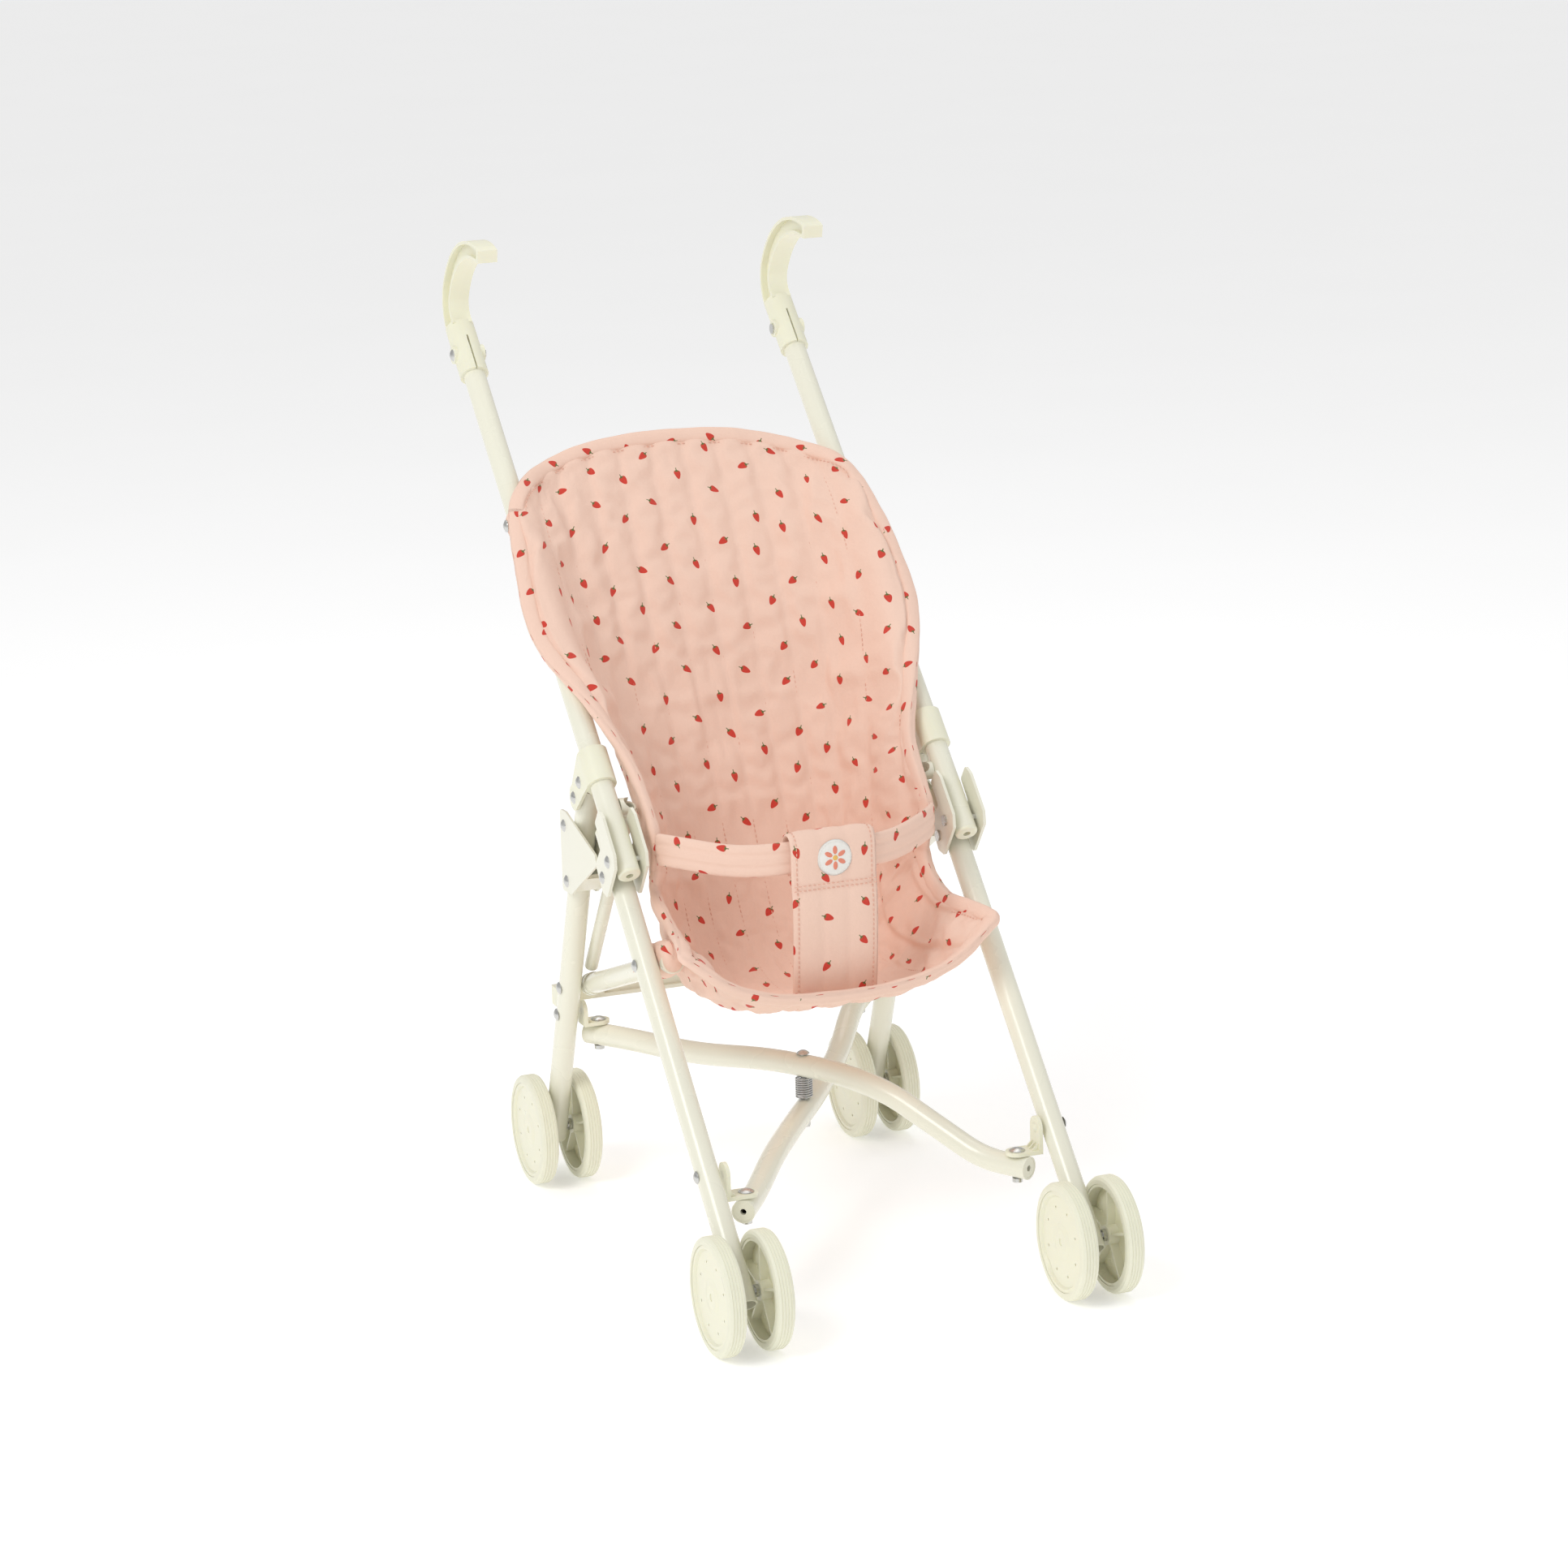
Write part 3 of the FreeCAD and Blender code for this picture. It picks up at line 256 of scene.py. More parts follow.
def berry_masks(tree, u, v):
    """The red and green parts of a scattered berry print, from cloth coordinates in millimetres."""
    column = tree.math("FLOOR", tree.math("DIVIDE", u, CELL_ACROSS))
    shift = tree.math("MULTIPLY", tree.math("MODULO", tree.math("ABSOLUTE", column), 2.0), 0.5)
    along = tree.math("ADD", tree.math("DIVIDE", v, CELL_ALONG), shift)
    row = tree.math("FLOOR", along)
    cell = tree.nodes.new("ShaderNodeCombineXYZ")
    tree.put(cell.inputs[0], column)
    tree.put(cell.inputs[1], row)
    dice = tree.nodes.new("ShaderNodeTexWhiteNoise")
    dice.noise_dimensions = "3D"
    tree.links.new(cell.outputs[0], dice.inputs["Vector"])
    split = tree.nodes.new("ShaderNodeSeparateColor")
    tree.links.new(dice.outputs["Color"], split.inputs[0])
    in_cell_u = tree.math("SUBTRACT", tree.math("DIVIDE", u, CELL_ACROSS), column)
    in_cell_v = tree.math("SUBTRACT", along, row)
    x = tree.math("MULTIPLY", tree.math("SUBTRACT", in_cell_u, 0.5), CELL_ACROSS)
    y = tree.math("MULTIPLY", tree.math("SUBTRACT", in_cell_v, 0.5), CELL_ALONG)
    x = tree.math("ADD", x, tree.math("MULTIPLY", tree.math("SUBTRACT", split.outputs[1], 0.5), SCATTER_ACROSS))
    y = tree.math("ADD", y, tree.math("MULTIPLY", tree.math("SUBTRACT", split.outputs[2], 0.5), SCATTER_ALONG))
    turn = tree.math("MULTIPLY", tree.math("SUBTRACT", split.outputs[0], 0.5), SCATTER_TURN)
    cosine, sine = tree.math("COSINE", turn), tree.math("SINE", turn)
    px = tree.math("SUBTRACT", tree.math("MULTIPLY", x, cosine), tree.math("MULTIPLY", y, sine))
    py = tree.math("ADD", tree.math("MULTIPLY", x, sine), tree.math("MULTIPLY", y, cosine))
    side = tree.math("ABSOLUTE", px)
    height = tree.math("DIVIDE", tree.math("ADD", py, BERRY_TIP), BERRY_TALL)
    safe = tree.math("MINIMUM", tree.math("MAXIMUM", height, 0.0), 1.0)
    belly = tree.math("POWER", safe, 0.5)
    shoulder = tree.math("SQRT", tree.math("SUBTRACT", 1.0, tree.math("POWER", safe, 5.0)))
    half_width = tree.math("MULTIPLY", tree.math("MULTIPLY", belly, shoulder), BERRY_HALF)
    red = inside(tree, tree.math("SUBTRACT", half_width, side))
    leaf_height = tree.math("DIVIDE", tree.math("SUBTRACT", py, LEAF_FROM), LEAF_TALL)
    leaf_room = tree.math("MINIMUM", leaf_height, tree.math("SUBTRACT", 1.0, leaf_height))
    leaf_width = tree.math("MULTIPLY", tree.math("SUBTRACT", 1.0, leaf_height), LEAF_HALF)
    leaf = tree.math("MULTIPLY", inside(tree, leaf_room), inside(tree, tree.math("SUBTRACT", leaf_width, side)))
    stalk_end = tree.math("SUBTRACT", STALK_TO, py)
    stalk_room = tree.math("MINIMUM", tree.math("SUBTRACT", py, STALK_FROM), stalk_end)
    stalk_side = tree.math("SUBTRACT", STALK_HALF, side)
    stalk = tree.math("MULTIPLY", inside(tree, stalk_room), inside(tree, stalk_side))
    return red, tree.math("MAXIMUM", leaf, stalk)


# %% [markdown]
# Under the print is the cloth itself: a plain weave of half-millimetre threads, a
# few thicker threads, soft creases, and a faint sheen at a glancing angle.

# %% Printed cotton
def printed_cotton(name, color):
    tree = Tree(name)
    place = tree.coords("UV")
    split = tree.nodes.new("ShaderNodeSeparateXYZ")
    tree.links.new(place, split.inputs[0])
    u = tree.math("MULTIPLY", split.outputs[0], 1000.0)
    v = tree.math("MULTIPLY", split.outputs[1], 1000.0)
    turns = 2 * math.pi / WEAVE_PITCH
    warp = tree.math("SINE", tree.math("MULTIPLY", u, turns))
    weft = tree.math("SINE", tree.math("MULTIPLY", v, turns))
    weave = tree.math("MULTIPLY", warp, weft)
    slub = tree.noise(place, 700.0, 3.0, 0.6)
    creases = tree.noise(place, 55.0, 4.0, 0.55)
    tone = tree.noise(place, 9.0, 3.0)
    cloth = tree.mix(tone, shade(color, 0.97), shade(color, 1.02))
    cloth = tree.mix(tree.spread(slub, 0.0, 0.16), cloth, shade(color, 0.88))
    red, green = berry_masks(tree, u, v)
    cloth = tree.mix(red, cloth, tree.mix(slub, BERRY_RED, BERRY_DEEP))
    cloth = tree.mix(green, cloth, LEAF_GREEN)
    normal = tree.bump(creases, 0.0022, 0.45)
    normal = tree.bump(slub, 0.00022, 0.45, normal)
    normal = tree.bump(weave, 0.00006, 0.5, normal)
    tree.set(Sheen_Weight=0.22, Sheen_Roughness=0.45, IOR=1.4)
    tree.shader.inputs["Sheen Tint"].default_value = (1.0, 0.90, 0.84, 1.0)
    return tree.finish(cloth, tree.spread(slub, 0.78, 0.92), normal)


def thread(name, color):
    """Spun sewing thread, twisted, so it glints in fine bands."""
    tree = Tree(name)
    where = tree.coords()
    twist = tree.noise(where, 2500.0, 2.0)
    tint = tree.mix(twist, shade(color, 0.86), shade(color, 1.04))
    tree.set(Sheen_Weight=0.3, IOR=1.45)
    return tree.finish(tint, tree.spread(twist, 0.5, 0.75), tree.bump(twist, 0.0001, 0.6))


def felt(name, color):
    tree = Tree(name)
    where = tree.coords()
    fuzz = tree.noise(where, 1400.0, 5.0, 0.75)
    clumps = tree.noise(where, 260.0, 3.0)
    tint = tree.mix(clumps, shade(color, 0.93), shade(color, 1.03))
    normal = tree.bump(fuzz, 0.0004, 0.6)
    tree.set(Sheen_Weight=0.5, IOR=1.4)
    return tree.finish(tint, tree.spread(fuzz, 0.82, 0.98), normal)


COTTON = printed_cotton("berry_cotton", PEACH)
SEAM_THREAD = thread("peach_thread", (0.83, 0.47, 0.35))
FELT = felt("white_felt", (0.86, 0.84, 0.79))
FINISHES["seat_fabric"] = COTTON
FINISHES["badge_felt"] = FELT
print("cloth finishes ready")

# %% [markdown]
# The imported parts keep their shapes. Each one only changes the material in its
# slot for the finish of the same name.

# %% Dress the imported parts
slot_of = {part["node"]: part["material_slot"] for part in frame["record"]["subparts"]}
for node, piece in frame["nodes"].items():
    finish = FINISHES[slot_of[node]]
    for index in range(max(1, len(piece.material_slots))):
        if piece.material_slots:
            piece.material_slots[index].material = finish
        else:
            piece.data.materials.append(finish)
print("dressed", len(slot_of), "packed parts")

# %% [markdown]
# ## The quilted seat
#
# The seat is one long piece of padded cloth. It hangs from the push tubes, wraps
# forward into two side wings, and folds at the bottom into the seat. Its middle
# surface is drawn by a few rows of points, from the top of the back rest to the
# front lip, and a smooth curve through them gives every point in between.

# %% The seat's middle surface
SEAT_ROWS = [
    [(0, 190, 505), (50, 187, 502), (88, 178, 493), (113, 156, 485), (127, 141, 469)],
    [(0, 163, 455), (52, 158, 455), (92, 143, 452), (115, 117, 450), (134, 107, 437)],
    [(0, 133, 398), (52, 127, 398), (90, 108, 397), (114, 71, 403), (136, 66, 392)],
    [(0, 104, 338), (50, 97, 338), (83, 76, 340), (102, 30, 352), (114, 16, 355)],
    [(0, 76, 282), (48, 68, 282), (76, 45, 288), (91, 8, 305), (98, -14, 319)],
    [(0, 49, 228), (46, 41, 228), (71, 22, 236), (85, -8, 258), (96, -48, 283)],
    [(0, 22, 187), (46, 16, 188), (71, 2, 198), (84, -16, 228), (96, -46, 262)],
    [(0, -10, 168), (46, -12, 169), (71, -16, 179), (84, -24, 209), (96, -42, 243)],
    [(0, -55, 165), (46, -56, 167), (72, -58, 178), (85, -62, 203), (96, -72, 227)],
    [(0, -100, 172), (46, -100, 174), (74, -100, 186), (87, -104, 209), (103, -106, 226)],
    [(0, -140, 186), (46, -139, 189), (77, -137, 199), (98, -134, 214), (110, -131, 223)],
]


def smooth(values, t):
    """A Catmull-Rom curve through points, at a parameter from 0 to len - 1."""
    last = len(values) - 1
    i = min(int(t), last - 1)
    f = t - i
    p1, p2 = values[i], values[i + 1]
    p0 = values[i - 1] if i > 0 else [2 * a - b for a, b in zip(p1, p2)]
    p3 = values[i + 2] if i + 2 <= last else [2 * b - a for a, b in zip(p1, p2)]
    return [0.5 * (2 * b + (c - a) * f + (2 * a - 5 * b + 4 * c - d) * f * f
                   + (3 * b - a - 3 * c + d) * f ** 3) for a, b, c, d in zip(p0, p1, p2, p3)]


def seat_point(across, down):
    """A point of the middle surface in metres: across from -1 to 1, down from 0 to 1."""
    rows = [smooth(row, abs(across) * (len(row) - 1)) for row in SEAT_ROWS]
    x, y, z = smooth(rows, down * (len(rows) - 1))
    return Vector((x if across >= 0 else -x, y, z)) * MM


def seat_normal(across, down):
    """The direction out of the seat's back, away from the doll."""
    step = 0.01
    right, left = seat_point(min(across + step, 1), down), seat_point(max(across - step, -1), down)
    low, high = seat_point(across, min(down + step, 1)), seat_point(across, max(down - step, 0))
    return (right - left).cross(low - high).normalized()


middle_line = sum((seat_point(0, (i + 1) / 40) - seat_point(0, i / 40)).length for i in range(40))
print("seat cloth is", round(middle_line, 3), "m long on its middle line")

# %% [markdown]
# Sewn channels run down the seat about 22 mm apart. The grid that makes the two
# skins has a column of points on every seam, so each seam stays crisp, and each
# channel between two seams starts a little crowned.

# %% Two skins on one grid
SEAMS = (0.057, 0.17, 0.296, 0.447, 0.618, 0.885, 1.0)
STEPS = (3, 6, 6, 6, 6, 9, 4)
DOWN_STEPS = 130
HEM = 0.019              # share of the length taken by the hem at top and bottom
SEAM_HALF = 0.6 * MM
CROWN_HALF = 3.5 * MM


def seam_columns():
    """Across values from -1 to 1, and how full the padding is at each."""
    columns, fullness = [], []
    start = -SEAMS[0]
    for index, (end, steps) in enumerate(zip(SEAMS, STEPS)):
        first = 0 if index == 0 else start
        for k in range(steps):
            share = k / steps
            at = first + (end - first) * share
            inside_channel = (at - start) / (end - start)
            columns.append(at)
            fullness.append(math.sqrt(max(0.0, 4 * inside_channel * (1 - inside_channel))))
        start = end
    columns.append(1.0)
    fullness.append(0.0)
    mirrored = [-a for a in columns[:0:-1]]
    return mirrored + columns, fullness[:0:-1] + fullness


ACROSS, FULLNESS = seam_columns()
DOWN = [j / DOWN_STEPS for j in range(DOWN_STEPS + 1)]
print(len(ACROSS), "columns by", len(DOWN), "rows")


def mesh_piece(name, points, faces, uvs, material):
    """A mesh object with one UV per point."""
    mesh = bpy.data.meshes.new(name)
    mesh.from_pydata([tuple(p) for p in points], [], faces)
    if uvs is not None:
        layer = mesh.uv_layers.new(name="cloth")
        corner_points = np.zeros(len(mesh.loops), dtype=np.int32)
        mesh.loops.foreach_get("vertex_index", corner_points)
        layer.data.foreach_set("uv", np.asarray(uvs, dtype=np.float32)[corner_points].ravel())
    mesh.materials.append(material)
    mesh.polygons.foreach_set("use_smooth", [True] * len(mesh.polygons))
    mesh.update()
    piece = bpy.data.objects.new(name, mesh)
    bpy.context.scene.collection.objects.link(piece)
    return piece


def face_outwards(piece):
    """Recalculate a closed mesh's normals to point out."""
    work = bmesh.new()
    work.from_mesh(piece.data)
    bmesh.ops.recalc_face_normals(work, faces=work.faces)
    work.to_mesh(piece.data)
    work.free()


def applied(piece):
    """Replace a piece's mesh with its evaluated one, and drop the modifiers."""
    view = bpy.context.evaluated_depsgraph_get()
    final = bpy.data.meshes.new_from_object(piece.evaluated_get(view), depsgraph=view)
    piece.modifiers.clear()
    piece.data = final
    return piece


def subdivided(piece, levels=1):
    modifier = piece.modifiers.new("smooth", "SUBSURF")
    modifier.levels = levels
    modifier.render_levels = levels
    return applied(piece)


# %% Build the padded seat
def seat_grid():
    """Points, faces and cloth coordinates of the seat's two skins, closed at the rim."""
    wide, tall = len(ACROSS), len(DOWN)
    middle = [[seat_point(a, d) for a in ACROSS] for d in DOWN]
    normals = [[seat_normal(a, d) for a in ACROSS] for d in DOWN]
    centre = wide // 2
    along = [0.0]
    for j in range(1, tall):
        along.append(along[-1] + (middle[j][centre] - middle[j - 1][centre]).length)
    points, uvs = [], []
    for side in (-1, 1):
        for j in range(tall):
            edge = min(1.0, min(DOWN[j], 1 - DOWN[j]) / HEM)
            across = [0.0] * wide
            for i in range(centre + 1, wide):
                across[i] = across[i - 1] + (middle[j][i] - middle[j][i - 1]).length
                mirror = 2 * centre - i
                across[mirror] = across[mirror + 1] - (middle[j][mirror] - middle[j][mirror + 1]).length
            for i in range(wide):
                full = FULLNESS[i] * math.sqrt(edge)
                half = SEAM_HALF + (CROWN_HALF - SEAM_HALF) * full
                points.append(middle[j][i] + normals[j][i] * (side * half))
                uvs.append((across[i] + 0.5, 0.7 - along[j]))
    faces = []
    back = wide * tall

    def at(j, i):
        return j * wide + i

    for j in range(tall - 1):
        for i in range(wide - 1):
            a, b, c, d = at(j, i), at(j, i + 1), at(j + 1, i + 1), at(j + 1, i)
            faces.append((a, b, c, d))
            faces.append((back + d, back + c, back + b, back + a))
    for i in range(wide - 1):
        faces.append((at(0, i + 1), at(0, i), back + at(0, i), back + at(0, i + 1)))
        last = tall - 1
        faces.append((at(last, i), at(last, i + 1), back + at(last, i + 1), back + at(last, i)))
    for j in range(tall - 1):
        faces.append((at(j, 0), at(j + 1, 0), back + at(j + 1, 0), back + at(j, 0)))
        right = wide - 1
        faces.append((at(j + 1, right), at(j, right), back + at(j, right), back + at(j + 1, right)))
    return points, faces, uvs


points, faces, uvs = seat_grid()
seat = mesh_piece("seat_quilt", points, faces, uvs, COTTON)
face_outwards(seat)
print("seat starts with", len(seat.data.vertices), "points")

# %% [markdown]
# A cloth simulation then blows the channels up. The seams and the rim are pinned,
# the cloth between them is a few percent too large, and a gentle pressure pushes
# it out, which gives the small puckers that run in from each line of stitching.
# No point may move further than a cap, so nothing can burst.

# %% Inflate the channels
PRESSURE, GROWTH, MOST_MOVE, FRAMES = 7.0, 0.05, 2.6 * MM, 20


def pin_seams(piece):
    """A group that holds the seams and the hems still."""
    wide, tall = len(ACROSS), len(DOWN)
    group = piece.vertex_groups.new(name="sewn")
    held = []
    for side in range(2):
        for j in range(tall):
            in_hem = min(DOWN[j], 1 - DOWN[j]) < HEM
            for i in range(wide):
                if in_hem or FULLNESS[i] < 0.01:
                    held.append(side * wide * tall + j * wide + i)
    group.add(held, 1.0, "REPLACE")
    return group.name


def inflate(piece, pins):
    """Blow the cloth up for a few frames; returns the furthest and the mean move."""
    start = np.zeros(len(piece.data.vertices) * 3)
    piece.data.vertices.foreach_get("co", start)
    cloth = piece.modifiers.new("cloth", "CLOTH")
    settings = cloth.settings
    settings.quality = 4
    settings.mass = 0.15
    settings.tension_stiffness = 12
    settings.compression_stiffness = 12
    settings.shear_stiffness = 4
    settings.bending_stiffness = 0.08
    settings.vertex_group_mass = pins
    settings.use_pressure = True
    settings.uniform_pressure_force = PRESSURE
    settings.shrink_min = -GROWTH
    settings.shrink_max = -GROWTH
    settings.effector_weights.gravity = 0.0
    cloth.collision_settings.use_collision = False
    cloth.point_cache.frame_start = 1
    cloth.point_cache.frame_end = FRAMES
    for number in range(1, FRAMES + 1):
        bpy.context.scene.frame_set(number)
    applied(piece)
    end = np.zeros_like(start)
    piece.data.vertices.foreach_get("co", end)
    move = (end - start).reshape(-1, 3)
    far = np.linalg.norm(move, axis=1, keepdims=True)
    move *= np.minimum(1.0, MOST_MOVE / np.maximum(far, 1e-9))
    piece.data.vertices.foreach_set("co", start + move.ravel())
    piece.data.update()
    bpy.context.scene.frame_set(1)
    return float(far.max()), float(far.mean())


moved = inflate(seat, pin_seams(seat))
print("channels moved by up to", round(moved[0] * 1000, 2), "mm, mean", round(moved[1] * 1000, 2))
seat.vertex_groups.clear()
subdivided(seat)
print("seat has", len(seat.data.polygons), "faces")


def soft_piece(piece):
    """Every soft piece rides with the seat, on a mesh of its own."""
    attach(piece, "seat")
    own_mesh(piece)
    return piece


soft_piece(seat)
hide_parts("seat_sling")

# %% [markdown]
# ## The rolled binding
#
# A padded strip of the same cloth is rolled over the seat's edge all the way
# round. It is a soft tube that follows the rim, a little wider than it is thick.
# The section is swept along the rim, and a slow ripple keeps it from looking turned.

# %% Sweep a soft section along a path
def path_frames(path, normals, closed):
    """Tangent, side and normal directions along a path."""
    result = []
    count = len(path)
    for k in range(count):
        ahead = path[(k + 1) % count] if closed else path[min(k + 1, count - 1)]
        behind = path[k - 1] if closed else path[max(k - 1, 0)]
        tangent = (ahead - behind).normalized()
        normal = (normals[k] - tangent * normals[k].dot(tangent)).normalized()
        result.append((tangent, tangent.cross(normal).normalized(), normal))
    return result


def sweep(name, path, normals, section, material, closed, scale_at=None, uv_start=(0.0, 0.0)):
    """A closed section, as (side, normal) offsets, swept along a path."""
    frames = path_frames(path, normals, closed)
    count, around = len(path), len(section)
    girth = [0.0]
    for k in range(around):
        a, b = section[k], section[(k + 1) % around]
        girth.append(girth[-1] + math.hypot(b[0] - a[0], b[1] - a[1]))
    points, uvs, travelled = [], [], 0.0
    for k in range(count):
        if k:
            travelled += (path[k] - path[k - 1]).length
        _, side, normal = frames[k]
        grow = scale_at(k / count) if scale_at else (1.0, 1.0)
        for m, (s, n) in enumerate(section):
            points.append(path[k] + side * (s * grow[0]) + normal * (n * grow[1]))
            uvs.append((uv_start[0] + girth[m], uv_start[1] + travelled))
    faces = []
    for k in range(count if closed else count - 1):
        a, b = k * around, ((k + 1) % count) * around
        for m in range(around):
            n = (m + 1) % around
            faces.append((a + m, a + n, b + n, b + m))
    if not closed:
        faces.append(tuple(range(around - 1, -1, -1)))
        faces.append(tuple((count - 1) * around + m for m in range(around)))
    piece = mesh_piece(name, points, faces, uvs, material)
    face_outwards(piece)
    return piece


def rounded(half_side, half_normal, steps, power=0.75):
    """A squarish oval section."""
    section = []
    for k in range(steps):
        angle = 2 * math.pi * k / steps
        c, s = math.cos(angle), math.sin(angle)
        section.append((half_side * math.copysign(abs(c) ** power, c),
                        half_normal * math.copysign(abs(s) ** power, s)))
    return section


def rim_path(inset, lift):
    """The seat's rim as a closed loop, set in along the cloth and lifted off it, in metres."""
    loop = []
    for k in range(90):
        loop.append((-1 + 2 * k / 90, 0.0))
    for k in range(150):
        loop.append((1.0, k / 150))
    for k in range(80):
        loop.append((1 - 2 * k / 80, 1.0))
    for k in range(150):
        loop.append((-1.0, 1 - k / 150))
    path, normals = [], []
    for across, down in loop:
        path.append(seat_point(across, down))
        normals.append(seat_normal(across, down))
    count = len(path)
    rounded_path = []
    reach = 4
    for k in range(count):
        near = [path[(k + m) % count] for m in range(-reach, reach + 1)]
        rounded_path.append(sum(near, Vector()) / len(near))
    frames = path_frames(rounded_path, normals, True)
    shifted = [p + f[1] * inset + f[2] * lift for p, f in zip(rounded_path, frames)]
    return shifted, normals


# %% Make the binding
BINDING_HALF, BINDING_THICK, BINDING_INSET = 5.6 * MM, 4.1 * MM, 3.8 * MM
rim, rim_normals = rim_path(0.0, 0.0)
inward = path_frames(rim, rim_normals, True)[45][1]
INWARD_SIGN = 1 if inward.z < 0 else -1
binding_path, binding_normals = rim_path(INWARD_SIGN * BINDING_INSET, 0.0)


def binding_ripple(share):
    """The roll swells and thins a little along the rim."""
    wave = 0.05 * math.sin(share * 2 * math.pi * 37) + 0.035 * math.sin(share * 2 * math.pi * 83 + 1.3)
    return 1.0 + 0.5 * wave, 1.0 + wave


binding = sweep("seat_binding", binding_path, binding_normals, rounded(BINDING_HALF, BINDING_THICK, 12),
                COTTON, True, binding_ripple, (0.013, 0.004))
subdivided(binding)
soft_piece(binding)
rim_length = sum((b - a).length for a, b in zip(binding_path, binding_path[1:]))
print("binding is", round(rim_length, 3), "m long")

# %% [markdown]
# ## Belt and crotch strap
#
# Both are flat padded bands sewn from the same cloth. The belt bows forward from
# wall to wall, with two lines of stitching along it. The crotch strap rises from
# the seat, wraps over the belt and is sewn to itself, so the belt can slide in it.

# %% A padded band's section
def band_section(half_side, half_normal, seams, steps):
    """A flat padded section: rounded edges, thinner along each lengthwise seam."""
    top = []
    for k in range(steps + 1):
        s = -1 + 2 * k / steps
        rim = max(0.0, 1 - abs(s) ** 6) ** 0.5
        dip = min([abs(s - seam) for seam in seams] + [1.0])
        full = 0.62 + 0.38 * min(1.0, dip / 0.16) ** 0.6
        top.append((s * half_side, half_normal * rim * full))
    lower = [(s, -n) for s, n in reversed(top[1:-1])]
    return top + lower


def arc_points(start, middle, count):
    """A level arc from a point on the left, through the middle, to the same point on the right."""
    ax, ay = start
    bx, by = middle[0], middle[1]
    half = -ax
    rise = ay - by
    radius = (half * half + rise * rise) / (2 * rise)
    centre = (bx, by + radius)
    first = math.atan2(ay - centre[1], ax - centre[0])
    turn = 2 * (-math.pi / 2 - first)
    return [Vector((centre[0] + radius * math.cos(first + turn * k / count),
                    centre[1] + radius * math.sin(first + turn * k / count), middle[2]))
            for k in range(count + 1)]


# %% Make the belt
BELT_HALF, BELT_THICK, BELT_SEAM = 11.2 * MM, 2.7 * MM, 0.36
BELT_END = (-0.0960, -0.050)
belt_low, belt_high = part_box("waist_belt")
belt_z = (belt_low[2] + belt_high[2]) / 2
belt_path = arc_points(BELT_END, (0.0, belt_low[1] + 0.0015, belt_z), 70)
for k, point in enumerate(belt_path):
    share = k / (len(belt_path) - 1)
    point.z += 0.0012 * math.sin(share * math.pi * 5 + 0.6)
belt_normals = [Vector((p.x, p.y + 0.005, 0)).normalized() for p in belt_path]
belt_section = band_section(BELT_HALF, BELT_THICK, (-BELT_SEAM, BELT_SEAM), 18)
belt = sweep("waist_belt_band", belt_path, belt_normals, belt_section, COTTON, False, None, (0.21, 0.35))
subdivided(belt)
soft_piece(belt)
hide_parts("waist_belt")
print("belt spans", round(belt_path[-1].x - belt_path[0].x, 3), "m")

# %% Make the crotch strap
STRAP_HALF, STRAP_THICK, STRAP_EDGE_SEAM, STRAP_SEAM = 30.0 * MM, 2.2 * MM, 0.86, 0.3
strap_low, strap_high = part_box("crotch_strap")
STRAP_LINE = [(-0.1120, 0.1740), (-0.1150, 0.1880), (-0.1180, 0.2150), (-0.1195, 0.2420), (-0.1182, 0.2580),
              (-0.1185, 0.2700), (-0.1185, 0.2800), (-0.1160, 0.2866), (-0.1105, 0.2885), (-0.1055, 0.2862),
              (-0.1035, 0.2800), (-0.1038, 0.2700), (-0.1052, 0.2610)]
strap_curve = [smooth(STRAP_LINE, t * (len(STRAP_LINE) - 1) / 90) for t in range(91)]
strap_path = [Vector((0, y, z)) for y, z in strap_curve]
strap_normals = []
for k, point in enumerate(strap_path):
    ahead, behind = strap_path[min(k + 1, 90)], strap_path[max(k - 1, 0)]
    strap_normals.append((ahead - behind).cross(Vector((1, 0, 0))).normalized())
strap_seams = (-STRAP_EDGE_SEAM, -STRAP_SEAM, STRAP_SEAM, STRAP_EDGE_SEAM)
strap_section = band_section(STRAP_HALF, STRAP_THICK, strap_seams, 30)
strap = sweep("crotch_strap_band", strap_path, strap_normals, strap_section, COTTON, False, None, (0.33, 0.61))
subdivided(strap)
soft_piece(strap)
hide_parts("crotch_strap")
print("crotch strap front at", round(strap_low[1], 4))

# %% [markdown]
# ## The round patch
#
# A felt disc is sewn to the strap, with a small embroidered daisy. The daisy is
# raised satin stitch, so it is real relief: six plump petals round a button.

# %% Patch and daisy
PATCH_R = 12.0 * MM
patch_low, patch_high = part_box("strap_badge")
patch_z = (patch_low[2] + patch_high[2]) / 2
patch_y = strap_low[1] - 0.0008
PETAL = thread("coral_thread", (0.80, 0.26, 0.17))
BUTTON = thread("mustard_thread", (0.82, 0.50, 0.12))


